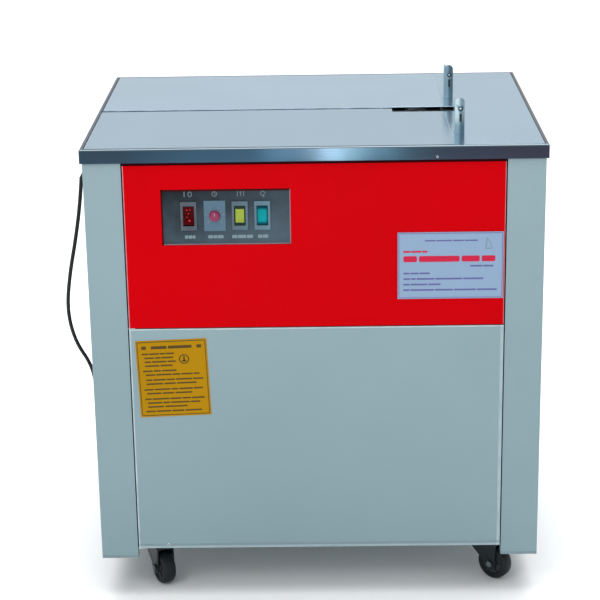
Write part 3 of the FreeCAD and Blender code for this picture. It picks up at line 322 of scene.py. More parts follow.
looks = {
    "cabinet_grey": cabinet_paint("cabinet paint"),
    "inner_grey": painted("inner paint", (0.33, 0.39, 0.41), 0.5, grime=0.3),
    # Red paint: painted shade in the crevices, painted pink highlights along the left and right edges, and a
    # painted shadow band along the top, under the table.
    "panel_red": painted("red paint", RED, 0.30, mottle=0.05, grime=0.0, crevice_shade=0.9, Specular_IOR_Level=0.02,
                         light_and_shade_bands=[("X", red_low.x - 0.001, red_low.x + 0.0017, PINK_EDGE_HIGHLIGHT, 0.75),
                                ("X", red_high.x - 0.0014, red_high.x + 0.001, PINK_EDGE_HIGHLIGHT, 0.6),
                                ("Z", red_high.z - 0.0048, red_high.z + 0.001, (0.030, 0.0, 0.002, 1), 2.4)]),
    "table_steel": table_sheet("table stainless", (0.43, 0.60, 0.735)),
    "polished_steel": stop_steel(),
    "slate_plate": plate_finish(),
    "bezel_silver": striped_bezel(),
    "rocker_red": moulded("red rocker", (0.056, 0.0, 0.001), 0.22, Specular_IOR_Level=0.06),
    "scale_blue": painted("scale plate", (0.074, 0.142, 0.203), 0.35, mottle=0.10, grime=0.1,
                          Specular_IOR_Level=0.3),
    "knob_pink": moulded("knob", (0.20, 0.017, 0.066), 0.35, mottle=0.12, Specular_IOR_Level=0.25),
    "button_yellow": button("yellow button", "feed_button", (0.0071, 0.01135), (0.285, 0.37, 0.050, 1),
                            (0.014, 0.036, 0.028, 1)),
    "button_teal": button("teal button", "reset_button", (0.0076, 0.0108), (0.001, 0.27, 0.295, 1),
                          (0.0, 0.055, 0.080, 1), 0.0022),
    "info_white": painted("information plate", (0.24, 0.35, 0.505), 0.35, mottle=0.05, grime=0.05,
                          Specular_IOR_Level=0.3),
    "label_yellow": painted("yellow film", (0.40, 0.205, 0.0), 0.4, mottle=0.06, Specular_IOR_Level=0.08),
    "zinc_steel": brushed("zinc plate", (0.55, 0.56, 0.55), 0.35, "Z"),
    "caster_black": painted("black enamel", (0.008, 0.014, 0.017), 0.35, mottle=0.2, grime=0.06,
                            Specular_IOR_Level=0.25),
    "wheel_black": moulded("wheel rubber", (0.007, 0.011, 0.014), 0.5, Specular_IOR_Level=0.22),
    "dark_steel": brushed("oiled steel", (0.10, 0.12, 0.13), 0.32),
    "cast_grey": painted("cast paint", (0.20, 0.22, 0.23), 0.55, peel=0.0006, grime=0.4),
    "tool_steel": brushed("tool steel", (0.42, 0.42, 0.43), 0.28, "Z"),
    "machined_aluminium": brushed("machined aluminium", (0.66, 0.67, 0.68), 0.28, "Y"),
    "motor_paint": painted("motor paint", (0.05, 0.10, 0.15), 0.45, peel=0.0004, grime=0.3),
    "belt_rubber": moulded("belt rubber", (0.02, 0.02, 0.02), 0.65),
    "roller_rubber": moulded("roller rubber", (0.035, 0.033, 0.032), 0.6),
    "reel_plastic": moulded("reel plastic", (0.035, 0.037, 0.04), 0.4),
    "board_green": painted("board", (0.03, 0.12, 0.06), 0.45),
    "cord_black": moulded("cord sheath", (0.008, 0.009, 0.010), 0.45, Specular_IOR_Level=0.3),
}
own_finish = {
    "table_rim": rim_finish(),
    # The two flaps are one stainless, given a darker and a lighter copy as painted reflection; the rear flap
    # has a painted shadow line near its front edge.
    "front_flap": table_sheet("front flap stainless", (0.40, 0.555, 0.675)),
    "rear_flap": table_sheet("rear flap stainless", (0.47, 0.63, 0.77),
                             [("Y", -0.008, -0.0042, (0.13, 0.20, 0.27, 1), 1.0)]),
    # Door paint with painted highlights along the left, right and top edges and the bottom fold, and a
    # painted shadow line above the bottom hem.
    "front_door": cabinet_paint("door paint", [
        ("X", door_low.x - 0.001, door_low.x + 0.0025, (0.50, 0.60, 0.64, 1), 0.8),
        ("X", door_high.x - 0.0055, door_high.x + 0.001, (0.42, 0.52, 0.56, 1), 0.6),
        ("Z", door_high.z - 0.0022, door_high.z + 0.0008, (0.55, 0.63, 0.66, 1), 0.8),
        ("Z", door_low.z + 0.0045, door_low.z + 0.0085, HEM_SHADOW, 0.6),
        ("Z", door_low.z - 0.001, door_low.z + 0.004, (0.42, 0.52, 0.55, 1), 0.5)]),
}
post_paint = cabinet_paint("post paint", [("Z", post_foot - 0.001, post_foot + 0.0055, HEM_SHADOW, 0.6)])
own_finish["left_side_panel"] = own_finish["right_side_panel"] = post_paint
print_white = ink("white print", (0.24, 0.31, 0.34), 0.15)
print_dim = ink("dim white print", (0.105, 0.145, 0.170))
print_grey = ink("grey print", (0.17, 0.25, 0.28))
print_blue = ink("blue print", (0.10, 0.10, 0.30))
print_violet = ink("violet print", (0.17, 0.17, 0.36))
print_red = ink("red print", (0.55, 0.01, 0.05), Specular_IOR_Level=0.2)
print_dark = ink("dark print", (0.075, 0.045, 0.006), 0.3, Specular_IOR_Level=0.2)
dull_zinc = brushed("dull zinc", (0.16, 0.19, 0.20), 0.4, contrast=0.2)
hub_grey = moulded("wheel hub", (0.020, 0.026, 0.030), 0.4, Specular_IOR_Level=0.3)
bright_zinc = brushed("bright zinc", (0.70, 0.73, 0.74), 0.22, "Z")


# ---- carried CAD nodes: softened edges and their finish -----------------------------------------------
EDGE_MM = {"table_rim": 0.5, "front_flap": 0.35, "rear_flap": 0.35, "right_table_plate": 0.35,
           "front_door": 1.0, "rear_door": 1.0, "left_side_panel": 1.0, "right_side_panel": 1.0,
           "front_upper_panel": 1.0, "rear_upper_panel": 1.0, "gearbox": 2.5, "head_frame": 0.8,
           "switch_bezels": 0.8, "info_plate": 0.2, "safety_label": 0.1, "power_rocker": 0.8}
# Large flat sheets with holes: their long thin triangles are joined before the edges are rounded.
PIERCED = ("left_side_panel", "right_side_panel")


def soften(node):
    """Weld the facets of a CAD node and round its sharp edges."""
    carried = nodes[node]
    weld = carried.modifiers.new("weld", "WELD")
    weld.merge_threshold = 1e-6
    if node in PIERCED:
        flat = carried.modifiers.new("flat", "DECIMATE")
        flat.decimate_type = "DISSOLVE"
        flat.angle_limit = math.radians(0.5)
    bevel = carried.modifiers.new("bevel", "BEVEL")
    bevel.width = EDGE_MM.get(node, 0.5) * MM
    bevel.segments = 2
    bevel.limit_method = "ANGLE"
    bevel.angle_limit = math.radians(40)
    bevel.use_clamp_overlap = True
    normals = carried.modifiers.new("normals", "WEIGHTED_NORMAL")
    normals.keep_sharp = False


for name, carried in nodes.items():
    carried.data.materials.clear()
    carried.data.materials.append(own_finish.get(name) or looks[node_slot[name]])
    soften(name)


# ---- mesh building ------------------------------------------------------------------------------------
def slab(bm, outline, front, back, index=0):
    """Prism in bm over an outline in X and Z, between two Y levels."""
    near = [bm.verts.new((u, front, v)) for u, v in outline]
    far = [bm.verts.new((u, back, v)) for u, v in outline]
    count = len(outline)
    faces = [bm.faces.new(near), bm.faces.new(far[::-1])]
    faces += [bm.faces.new((near[i], far[i], far[(i + 1) % count], near[(i + 1) % count]))
              for i in range(count)]
    for face in faces:
        face.material_index = index


def merge(bm, part, place=Matrix()):
    """Add part to bm at a placement, and free it."""
    part.transform(place)
    mesh = bpy.data.meshes.new("part")
    part.to_mesh(mesh)
    bm.from_mesh(mesh)
    part.free()


def rounded(width, height, radius, centre=(0, 0), steps=4):
    """Outline of a rectangle with rounded corners, counter-clockwise."""
    points = []
    for quarter, (sx, sz) in enumerate(((1, 1), (-1, 1), (-1, -1), (1, -1))):
        for i in range(steps + 1):
            angle = math.radians(90 * (quarter + i / steps))
            points.append((centre[0] + sx * (width / 2 - radius) + radius * math.cos(angle),
                           centre[1] + sz * (height / 2 - radius) + radius * math.sin(angle)))
    return points


def band(bm, outer, inner, front, back):
    """Closed strip between two outlines with the same number of points."""
    rings = [[bm.verts.new((u, y, v)) for u, v in outline]
             for outline, y in ((outer, front), (inner, front), (inner, back), (outer, back))]
    count = len(outer)
    for a, b in zip(rings, rings[1:] + rings[:1]):
        for i in range(count):
            bm.faces.new((a[i], a[(i + 1) % count], b[(i + 1) % count], b[i]))


def circle(radius, centre=(0, 0), steps=28):
    return [(centre[0] + radius * math.cos(2 * math.pi * i / steps),
             centre[1] + radius * math.sin(2 * math.pi * i / steps)) for i in range(steps)]


def turned(bm, profile, steps=48, flute=None):
    """Surface of revolution about local Y. The profile is (radius, y, material index)."""
    rings = []
    for radius, y, _ in profile:
        if radius < 1e-6:
            rings.append([bm.verts.new((0, y, 0))])
            continue
        ring = []
        for i in range(steps):
            angle = 2 * math.pi * i / steps
            r = radius + (flute(angle, radius) if flute else 0)
            ring.append(bm.verts.new((r * math.cos(angle), y, r * math.sin(angle))))
        rings.append(ring)
    for (a, b), (_, _, index) in zip(zip(rings, rings[1:]), profile):
        for i in range(steps):
            corners = [a[i % len(a)], a[(i + 1) % len(a)], b[(i + 1) % len(b)], b[i % len(b)]]
            corners = list(dict.fromkeys(corners))
            if len(corners) > 2:
                bm.faces.new(corners).material_index = index


def piece(name, bm, materials, body, place=Matrix(), replaces=(), bevel=0.0, smooth=40):
    """Finish a mesh: normals, smoothing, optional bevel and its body."""
    bmesh.ops.recalc_face_normals(bm, faces=bm.faces)
    mesh = bpy.data.meshes.new(name)
    bm.to_mesh(mesh)
    bm.free()
    for material in materials:
        mesh.materials.append(material)
    made = bpy.data.objects.new(name, mesh)
    bpy.context.scene.collection.objects.link(made)
    made.matrix_world = place
    mesh.shade_smooth()
    mesh.set_sharp_from_angle(angle=math.radians(smooth))
    if bevel:
        soft = made.modifiers.new("bevel", "BEVEL")
        soft.width, soft.segments, soft.limit_method = bevel * MM, 2, "ANGLE"
        soft.angle_limit = math.radians(35)
    bpy.context.view_layer.update()
    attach(made, body)
    if replaces:
        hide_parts(*replaces)
    return made


def millimetres(place=(0, 0, 0), turn=None):
    """Placement of a piece that is built in millimetres."""
    return Matrix.Translation(Vector(place) * MM) @ (turn or Matrix()) @ Matrix.Scale(MM, 4)


def facing(normal):
    """Turn that points local -Y along a horizontal normal."""
    return Matrix.Rotation(math.atan2(normal[0], -normal[1]), 4, "Z")


# ---- control panel prints -----------------------------------------------------------------------------
plate_low, plate_high = box_mm("control_panel")
plate_y = plate_low.y
PRINT = 0.18
SYMBOL_Z, CAPTION_Z = 717.5, 645.5


def bars(bm, rows, front, back):
    """Short blocks that stand for printed words: (left, right, middle height, height, word lengths)."""
    for left, right, height, tall, words in rows:
        unit = (right - left) / (sum(words) + 0.45 * (len(words) - 1))
        x = left
        for word in words:
            width = word * unit
            slab(bm, rounded(width, tall, min(tall, width) * 0.22, (x + width / 2, height), 2), front, back)
            x += (word + 0.45) * unit


def reset_arc(radius, tail):
    """Three quarters of a circle that ends in a tail towards its centre."""
    sweep = [a / 20 * 1.5 * math.pi for a in range(21)]
    return [(-83.5 + radius * math.cos(a), SYMBOL_Z + radius * math.sin(a)) for a in sweep] + [(-83.5, tail)]


symbols = bmesh.new()
front, back = plate_y - PRINT, plate_y + 0.02
for x, z, width, height, radius in ((-211, SYMBOL_Z, 2.0, 9.0, 0.6), (-162, SYMBOL_Z + 1.1, 1.2, 3.4, 0.3),
                                    (-161, SYMBOL_Z - 0.6, 3.0, 1.2, 0.3), (-124.6, SYMBOL_Z, 1.6, 9.0, 0.4),
                                    (-114.4, SYMBOL_Z, 1.6, 9.0, 0.4)):
    slab(symbols, rounded(width, height, radius, (x, z)), front, back)
band(symbols, rounded(7.0, 9.0, 3.2, (-202, SYMBOL_Z)), rounded(3.8, 5.8, 1.6, (-202, SYMBOL_Z)), front, back)
band(symbols, circle(4.6, (-162, SYMBOL_Z)), circle(3.1, (-162, SYMBOL_Z)), front, back)
slab(symbols, [(-122, 719.5), (-119.5, 722), (-117, 719.5), (-118.6, 719.5), (-118.6, 713.5), (-120.4, 713.5),
               (-120.4, 719.5)][::-1], front, back)
band(symbols, reset_arc(4.4, 715.6), reset_arc(2.9, 716.6), front, back)
slab(symbols, [(-83.5, 710.6), (-80.2, 713.9), (-83.5, 717.0)], front, back)
piece("control_symbols", symbols, [print_dim], "root", millimetres())
captions = bmesh.new()
bars(captions, [(left, right, CAPTION_Z, 5.5, words) for left, right, words in (
    (-212, -195, (4, 5, 3)), (-174, -149, (6, 4, 7)), (-135, -101, (5, 8, 6)), (-93, -76, (5, 6)))],
     front, back)
piece("control_captions", captions, [print_grey], "root", millimetres())

# The recess round the control plate: strips of painted shade above and at the left, and a lip painted as a
# bright highlight below and at the right.
COVERED, SHADOW, UPPER_SHADOW, LIP = 7.0, 2.0, 4.2, 1.6
x0, x1 = plate_low.x + COVERED, plate_high.x - COVERED
z0, z1 = plate_low.z + COVERED, plate_high.z - COVERED
gap = bmesh.new()
for outline in ([(x0, z1 - UPPER_SHADOW), (x1, z1 - UPPER_SHADOW), (x1, z1), (x0, z1)],
                [(x0, z0), (x0 + SHADOW, z0), (x0 + SHADOW, z1 - SHADOW), (x0, z1 - SHADOW)]):
    slab(gap, outline, plate_y - 0.5, plate_y + 0.02)
painted_recess_shade = painted("painted shadow gap", (0.055, 0.001, 0.003), 0.6, grime=0.0, Specular_IOR_Level=0.1)
piece("control_recess_shade", gap, [painted_recess_shade], "root", millimetres(), bevel=0.15)
lip = bmesh.new()
for outline in ([(x0 + SHADOW, z0), (x1, z0), (x1 - LIP, z0 + LIP), (x0 + SHADOW, z0 + LIP)],
                [(x1 - LIP, z0 + LIP), (x1, z0), (x1, z1 - SHADOW), (x1 - LIP, z1 - SHADOW)]):
    slab(lip, outline, plate_y - 1.0, plate_y + 0.02)
lip_highlight = painted("painted lip highlight", (0.30, 0.26, 0.31), 0.4, mottle=0.2, grime=0.2)
piece("control_recess_lip_highlight", lip, [lip_highlight], "root", millimetres(), bevel=0.3)

# Dial: ticks and numbers on the scale plate, and a fluted knob with its pointer line.
knob_low, knob_high = box_mm("feed_time_knob")
knob_x, knob_z = (knob_low.x + knob_high.x) / 2, (knob_low.z + knob_high.z) / 2
scale_y = box_mm("feed_time_scale")[0].y
dial = bmesh.new()
for i in range(11):
    angle = math.radians(225 - 27 * i)
    out, side = Vector((math.cos(angle), math.sin(angle))), Vector((-math.sin(angle), math.cos(angle)))
    near, far, half = 10.4, 12.4 if i % 2 else 13.0, 0.3
    middle = Vector((knob_x, knob_z))
    corners = [middle + out * near + side * half, middle + out * near - side * half,
               middle + out * far - side * half, middle + out * far + side * half]
    slab(dial, [tuple(c) for c in corners], scale_y - 0.15, scale_y + 0.02)
for i in range(0, 11, 2):
    angle = math.radians(225 - 27 * i)
    text = bpy.data.curves.new("figure", "FONT")
    text.body, text.size, text.extrude = str(i), 3.4, 0.06
    text.align_x = text.align_y = "CENTER"
    holder = bpy.data.objects.new("figure", text)
    figure = bpy.data.meshes.new_from_object(holder)
    at = (knob_x + 15.2 * math.cos(angle), scale_y - 0.08, knob_z + 15.2 * math.sin(angle))
    figure.transform(Matrix.Translation(at) @ Matrix.Rotation(math.pi / 2, 4, "X"))
    dial.from_mesh(figure)
    bpy.data.objects.remove(holder)
piece("dial_figures", dial, [print_white], "root", millimetres())

knob = bmesh.new()
depth = knob_low.y
turned(knob, [(0, depth, 1), (6.2, depth, 1), (6.9, depth + 0.5, 0), (7.4, depth + 0.9, 0),
              (8.3, depth + 1.3, 0), (8.7, depth + 5.2, 0), (8.95, depth + 5.5, 0),
              (8.95, depth + 6.6, 0), (3.0, depth + 6.6, 0),
              (3.0, knob_high.y, 0), (0, knob_high.y, 0)], 72,
       lambda angle, radius: -0.35 * max(0.0, math.cos(18 * angle)) if 8.0 < radius < 8.9 else 0.0)
slab(knob, rounded(1.2, 5.2, 0.4, (0, 3.4)), depth - 0.02, depth + 0.5, 2)
cap_pink = moulded("knob cap", (0.24, 0.032, 0.088), 0.3, Specular_IOR_Level=0.25)
piece("feed_time_dial_knob", knob, [looks["knob_pink"], cap_pink, print_white], "feed_time_knob",
      millimetres((knob_x, 0, knob_z)), ["feed_time_knob"])


def front_surface(node, x, z):
    """Depth of a node's front skin at a point of the front view, and its normal, in millimetres."""
    mesh = nodes[node].data
    best, normal = None, None
    for polygon in mesh.polygons:
        corners = [mesh.vertices[i].co for i in polygon.vertices]
        flat = [Vector((c.x, c.z)) for c in corners]
        n = (corners[1] - corners[0]).cross(corners[2] - corners[0])
        if abs(n.y) < 1e-14:
            continue
        p = Vector((x, z)) * MM
        signs = [(flat[(i + 1) % 3] - flat[i]).cross(p - flat[i]) for i in range(3)]
        if min(signs) < -1e-12 and max(signs) > 1e-12:
            continue
        y = corners[0].y - (n.x * (p.x - corners[0].x) + n.z * (p.y - corners[0].z)) / n.y
        if best is None or y < best:
            best, normal = y, n.normalized() * (-1 if n.y > 0 else 1)
    return best / MM, normal


# Rocker: raised dots for the two positions, one at each end and one in the middle.
rocker_low, rocker_high = box_mm("power_rocker")
rocker_x, rocker_z = (rocker_low.x + rocker_high.x) / 2, (rocker_low.z + rocker_high.z) / 2
dots = bmesh.new()
for dx, dz, size in ((-2.6, 9.0, 1.3), (2.6, 9.4, 1.1), (0, 3.0, 1.2), (-2.2, -3.0, 1.0), (1.6, -8.6, 2.0)):
    y, _ = front_surface("power_rocker", rocker_x + dx, rocker_z + dz)
    spot = bmesh.new()
    turned(spot, [(0, -0.3, 0), (size * 0.7, -0.22, 0), (size, 0.1, 0), (0, 0.1, 0)], 16)
    merge(dots, spot, Matrix.Translation((rocker_x + dx, y, rocker_z + dz)))
bright_red = moulded("rocker dots", (0.50, 0.02, 0.02), 0.3, Specular_IOR_Level=0.3)
piece("rocker_dots", dots, [bright_red], "power_rocker", millimetres())


# ---- plates and labels --------------------------------------------------------------------------------
info_low, info_high = box_mm("info_plate")
info_mid = (info_low + info_high) / 2
info_width, info_height = info_high.x - info_low.x, info_high.z - info_low.z
info_place = millimetres((info_mid.x, info_low.y, info_mid.z))
frame_line = bmesh.new()
band(frame_line, rounded(info_width - 2.4, info_height - 2.4, 2.0),
     rounded(info_width - 5.4, info_height - 5.4, 1.2), -PRINT, 0.02)
piece("info_border", frame_line, [print_violet], "root", info_place)
title = bmesh.new()
bars(title, [(-77, 73, 11.5, 10.0, (3, 9, 4, 3)), (-77, -38, 24.0, 3.0, (4, 6, 3))], -PRINT, 0.02)
piece("info_title_bars", title, [print_red], "root", info_place)
lines = bmesh.new()
bars(lines, [(-42, 44, 42.5, 2.2, (5, 7, 5, 6)), (32, 70, -1.0, 2.8, (6, 5)),
             (-77, -34, -13.0, 2.8, (3, 4, 5)), (-77, 54, -22.5, 2.8, (3, 2, 8, 12, 9)),
             (-77, -16, -32.0, 2.8, (3, 8, 6)),
             (-77, 76, -41.5, 2.8, (3, 12, 9, 11, 10))], -PRINT, 0.02)
piece("info_text_bars", lines, [print_blue], "root", info_place)
mark = bmesh.new()
band(mark, [(56, 28), (68, 28), (66, 38), (59, 47)],
     [(58, 29.5), (66.2, 29.5), (64.8, 37.5), (60, 44)], -PRINT, 0.02)
piece("info_mark", mark, [print_grey], "root", info_place)

LABEL_TILT, LABEL_PRINT = math.radians(-2.0), -0.12
label_low, label_high = box_mm("safety_label")
label_mid = (label_low + label_high) / 2
label_place = millimetres((label_mid.x, label_low.y, label_mid.z), Matrix.Rotation(LABEL_TILT, 4, "Y"))
print_lines = bmesh.new()
band(print_lines, rounded(114.5, 131.5, 2.5), rounded(111.9, 128.9, 1.5), LABEL_PRINT, 0.02)
bars(print_lines, [(-34, 34, 55, 5.0, (6, 9)), (-50, -42, 55, 5.5, (1,)), (42, 50, 55, 5.5, (1,)),
                   (-50, 4, 44, 2.6, (4, 6, 3, 5)), (-46, 2, 37, 2.6, (5, 3, 6)),
                   (-46, 6, 30, 2.6, (3, 7, 4)), (-46, 0, 23, 2.6, (6, 5)),
                   (-50, 6, 14, 2.6, (4, 3, 6)), (-46, 44, 7, 2.6, (5, 8, 4, 6, 3)),
                   (-46, 50, -2, 2.6, (3, 6, 4, 8, 5)), (-46, 38, -9, 2.6, (6, 4, 7)),
                   (-50, 48, -19, 2.6, (4, 7, 3, 6, 4)), (-46, 30, -26, 2.6, (5, 4, 6)),
                   (-50, 50, -36, 2.6, (3, 8, 5, 4, 6)), (-46, 42, -43, 2.6, (6, 3, 8, 4)),
                   (-46, 20, -50, 2.6, (5, 7)), (-50, 44, -58, 2.6, (4, 6, 5, 7))], LABEL_PRINT, 0.02)
band(print_lines, circle(8.5, (20, 33)), circle(6.6, (20, 33)), LABEL_PRINT, 0.02)
slab(print_lines, rounded(2.6, 8.5, 0.8, (20, 34)), LABEL_PRINT, 0.02)
slab(print_lines, rounded(7.5, 2.6, 0.8, (20, 30)), LABEL_PRINT, 0.02)
piece("label_bars", print_lines, [print_dark], "front_door", label_place)


# ---- fasteners ----------------------------------------------------------------------------------------
def screw_head(bm, radius, height, centre, normal, slot=0.22):
    """Pan head with a cross recess, built about local Y and turned to face a normal."""
    head = bmesh.new()
    turned(head, [(0, -height * 0.55, 1), (radius * 0.5, -height * 0.50, 1),
                  (radius * 0.56, -height * 0.97, 0), (radius * 0.80, -height * 0.80, 0),
                  (radius * 0.95, -height * 0.45, 0), (radius, 0, 0), (0, 0, 0)], 32)
    for angle in (0, math.pi / 2):
        rib = bmesh.new()
        slab(rib, rounded(radius * 0.92, radius * slot, radius * 0.05, steps=2),
             -height * 0.72, -height * 0.4, 1)
        merge(head, rib, Matrix.Rotation(angle + 0.5, 4, "Y"))
    merge(bm, head, Matrix.Translation(centre) @ facing(normal))


recess_dark = painted("recess shadow", (0.05, 0.055, 0.06), 0.6)
side_screws = bmesh.new()
screw_nodes = nodes["panel_screws"].data
heights = sorted({round(v.co.z / MM, 1) for v in screw_nodes.vertices})
CABINET_X, HEAD = 374.0, 4.5
low_z, high_z = heights[0] + HEAD, heights[-1] - HEAD
screw_y = max(abs(v.co.y) for v in screw_nodes.vertices) / MM - HEAD
for side in (-1, 1):
    for y in (-screw_y, screw_y):
        for row in range(4):
            at = (side * CABINET_X, y, low_z + (high_z - low_z) * row / 3)
            screw_head(side_screws, HEAD, 1.8, at, (side, 0))
piece("side_panel_screws", side_screws, [looks["zinc_steel"], recess_dark], "root",
      millimetres(), ["panel_screws"])
DOOR_SCREW, RIM_SCREW = (-258.4, -294.0, 96.5), (198.2, -298.0, 777.0)
door_screw = bmesh.new()
screw_head(door_screw, 2.6, 1.2, DOOR_SCREW, (0, -1))
piece("door_bottom_screw", door_screw, [bright_zinc, recess_dark], "front_door", millimetres())
rim_screw = bmesh.new()
screw_head(rim_screw, 2.0, 0.8, RIM_SCREW, (0, -1))
piece("rim_screw", rim_screw, [bright_zinc, recess_dark], "root", millimetres())
for stop in ("front_stop", "rear_stop"):
    leaf_y = box_mm(stop)[0].y
    # Painted glint: a small bright disc on each stop's screw.
    glint = bmesh.new()
    turned(glint, [(0, -0.12, 0), (1.5, -0.10, 0), (1.9, 0.05, 0), (0, 0.05, 0)], 20)
    glint.transform(Matrix.Translation((STOP_SCREW[0] - 0.4, leaf_y, STOP_SCREW[1] + 0.4)))
    piece(stop + "_screw_glint", glint, [bright_zinc], stop, millimetres())
    # Painted shade: a dark pad fills each stop's slot where the shade inside it falls.
    pad = bmesh.new()
    slab(pad, rounded(3.8, 13.8, 1.2, STOP_SLOT), leaf_y + 0.6, leaf_y + 2.4)
    piece(stop + "_slot_shade_pad", pad, [looks["belt_rubber"]], stop, millimetres(), bevel=0.2)

# Strip in the seam between the flaps and the right plate, open at the head slot.
SEAM_LEFT, SEAM_RIGHT, SEAM_LOW, SEAM_TOP = 225.12, 225.95, 793.6, 794.7
seam = bmesh.new()
for y0, y1 in ((-289.0, -44.5), (-1.5, 289.0)):
    slab(seam, [(SEAM_LEFT, SEAM_LOW), (SEAM_RIGHT, SEAM_LOW), (SEAM_RIGHT, SEAM_TOP), (SEAM_LEFT, SEAM_TOP)],
         y0, y1)
seam_steel = brushed("seam strip", (0.36, 0.48, 0.57), 0.3, "Y", contrast=0.05)
piece("table_seam_strip", seam, [seam_steel], "root", millimetres(), bevel=0.1)


# ---- casters ------------------------------------------------------------------------------------------
TRAIL = {"front_left": -62, "front_right": -40, "rear_left": 35, "rear_right": 150}
WHEEL, HALF, FORK_OUTER = 30.0, 12.0, 16.0
for corner, trail in TRAIL.items():
    node = "caster_wheel_" + corner
    low, high = box_mm(node)
    centre = (low + high) / 2
    axle_turn = Matrix.Rotation(math.radians(trail), 4, "Z")
    wheel = bmesh.new()
    side = [(4.1, HALF, 1), (8.5, HALF, 1), (9.0, HALF - 0.8, 1), (9.6, HALF - 3.5, 1), (18.5, HALF - 3.5, 1),
            (20.0, HALF - 1.6, 1), (20.6, HALF - 0.4, 0), (23.5, HALF, 0), (26.4, HALF - 0.6, 0),
            (28.6, HALF - 2.6, 0), (29.8, HALF - 5.6, 0)]
    profile = side + [(WHEEL, 0, 0)] + [(r, -y, i) for r, y, i in side[::-1]]
    profile = [(r, y, side[-1][2] if k == len(side) else i) for k, (r, y, i) in enumerate(profile)]
    turned(wheel, profile + [(4.1, HALF, 1)], 64)
    for spoke in range(6):
        for face in (-1, 1):
            rib = bmesh.new()
            slab(rib, rounded(10.5, 2.4, 0.6, (14.2, 0), 2), -1.2, 1.2, 1)
            turn = Matrix.Rotation(spoke * math.pi / 3, 4, "Y")
            merge(wheel, rib, Matrix.Translation((0, face * (HALF - 2.8), 0)) @ turn)
    piece("wheel_" + corner + "_tyre", wheel, [looks["wheel_black"], hub_grey], "wheel_" + corner,
          millimetres(centre, axle_turn), [node])
    nuts = bmesh.new()
    for face in (-1, 1):
        nut = bmesh.new()
        slab(nut, circle(5.8, steps=6), -FORK_OUTER - 3.15, -FORK_OUTER + 0.05)
        turned(nut, [(0, -FORK_OUTER - 4.6, 0), (2.6, -FORK_OUTER - 4.3, 0), (3.2, -FORK_OUTER - 3.0, 0)], 24)
        merge(nuts, nut, Matrix.Rotation(0 if face < 0 else math.pi, 4, "Z"))
    piece("axle_nuts_" + corner, nuts, [dull_zinc], "fork_" + corner,
          millimetres(centre, axle_turn), bevel=0.4)


# ---- power cord ---------------------------------------------------------------------------------------
CORD_DIAMETER = 0.0065
LIE = CORD_DIAMETER / 2 + 0.00005
route_mm = [(-387.5, -208, 724), (-391.5, -208, 684), (-402, -208, 622), (-415.5, -207, 560),
            (-424, -205, 494), (-413, -202, 436), (-388, -196, 392), (-382.5, -182, 338),
            (-383, -157, 276), (-382.5, -126, 212), (-383.5, -90, 150), (-384, -46, 94),
            (-386, 8, 48), (-389, 68, 15)]
floor_mm = [(-387, 130), (-380, 192), (-366, 252), (-340, 306), (-302, 348)]
route = [Vector(p) * MM for p in route_mm] + [Vector((x * MM, y * MM, LIE)) for x, y in floor_mm]

TURN_RADII = (0.0432, 0.0367, 0.0302)
POINTS_PER_TURN = 18
heading = (route[-1] - route[-2]).normalized()
coil_centre = route[-1] + Vector((-heading.y, heading.x, 0)) * TURN_RADII[0]
start_angle = math.atan2(route[-1].y - coil_centre.y, route[-1].x - coil_centre.x)
end_angle = 11 * math.pi
layer_radii = TURN_RADII + TURN_RADII[::-1]
inward_correction = 1 / (0.75 + 0.25 * math.cos(2 * math.pi / POINTS_PER_TURN))


def smooth(t):
    t = min(1.0, max(0.0, t))
    return t * t * (3 - 2 * t)


def coil_points():
    """Three turns from the outside in, and three on top of them from the inside out."""
    points = []
    sweep = end_angle - start_angle
    turns_left_out = 6 - sweep / (2 * math.pi)
    count = round(sweep / (2 * math.pi) * POINTS_PER_TURN)
    for i in range(1, count + 1):
        angle = start_angle + sweep * i / count
        turn = (angle - start_angle) / (2 * math.pi)
        radius, height = layer_radii[0], LIE
        for step in range(1, len(layer_radii)):
            share = smooth((turn - (step - turns_left_out * (step > 2)) + 0.18) / 0.36)
            radius += (layer_radii[step] - layer_radii[step - 1]) * share
            if step == 3:
                height += CORD_DIAMETER * share
        out = Vector((math.cos(angle), math.sin(angle), 0)) * radius * inward_correction
        points.append(Vector((coil_centre.x, coil_centre.y, height)) + out)
    return points


PLUG_GAP = 0.012
plug_start = Vector((coil_centre.x - TURN_RADII[0], coil_centre.y - PLUG_GAP, LIE + CORD_DIAMETER))
cord_points = route + coil_points() + [plug_start + Vector((0, 0.004, 0)), plug_start]
curve = bpy.data.curves.new("power_cord", "CURVE")
curve.dimensions = "3D"
curve.bevel_depth = CORD_DIAMETER / 2
curve.bevel_resolution = 4
curve.resolution_u = 6
curve.use_fill_caps = True
spline = curve.splines.new("NURBS")
spline.points.add(len(cord_points) - 1)
for point, place in zip(spline.points, cord_points):
    point.co = (*place, 1.0)
spline.order_u = 3
spline.use_endpoint_u = True
power_cord = bpy.data.objects.new("power_cord", curve)
bpy.context.scene.collection.objects.link(power_cord)
curve.materials.append(looks["cord_black"])
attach(power_cord, "root")
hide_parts("cord_tube", "cord_coil")

# Plug: ribbed sleeve, moulded body with a grip waist, and two round pins.
plug_mm = plug_start / MM


def superellipse(half_width, half_height, power, steps=40):
    points = []
    for i in range(steps):
        angle = 2 * math.pi * i / steps
        c, s = math.cos(angle), math.sin(angle)
        points.append((math.copysign(abs(c) ** (2 / power), c) * half_width,
                       math.copysign(abs(s) ** (2 / power), s) * half_height))
    return points


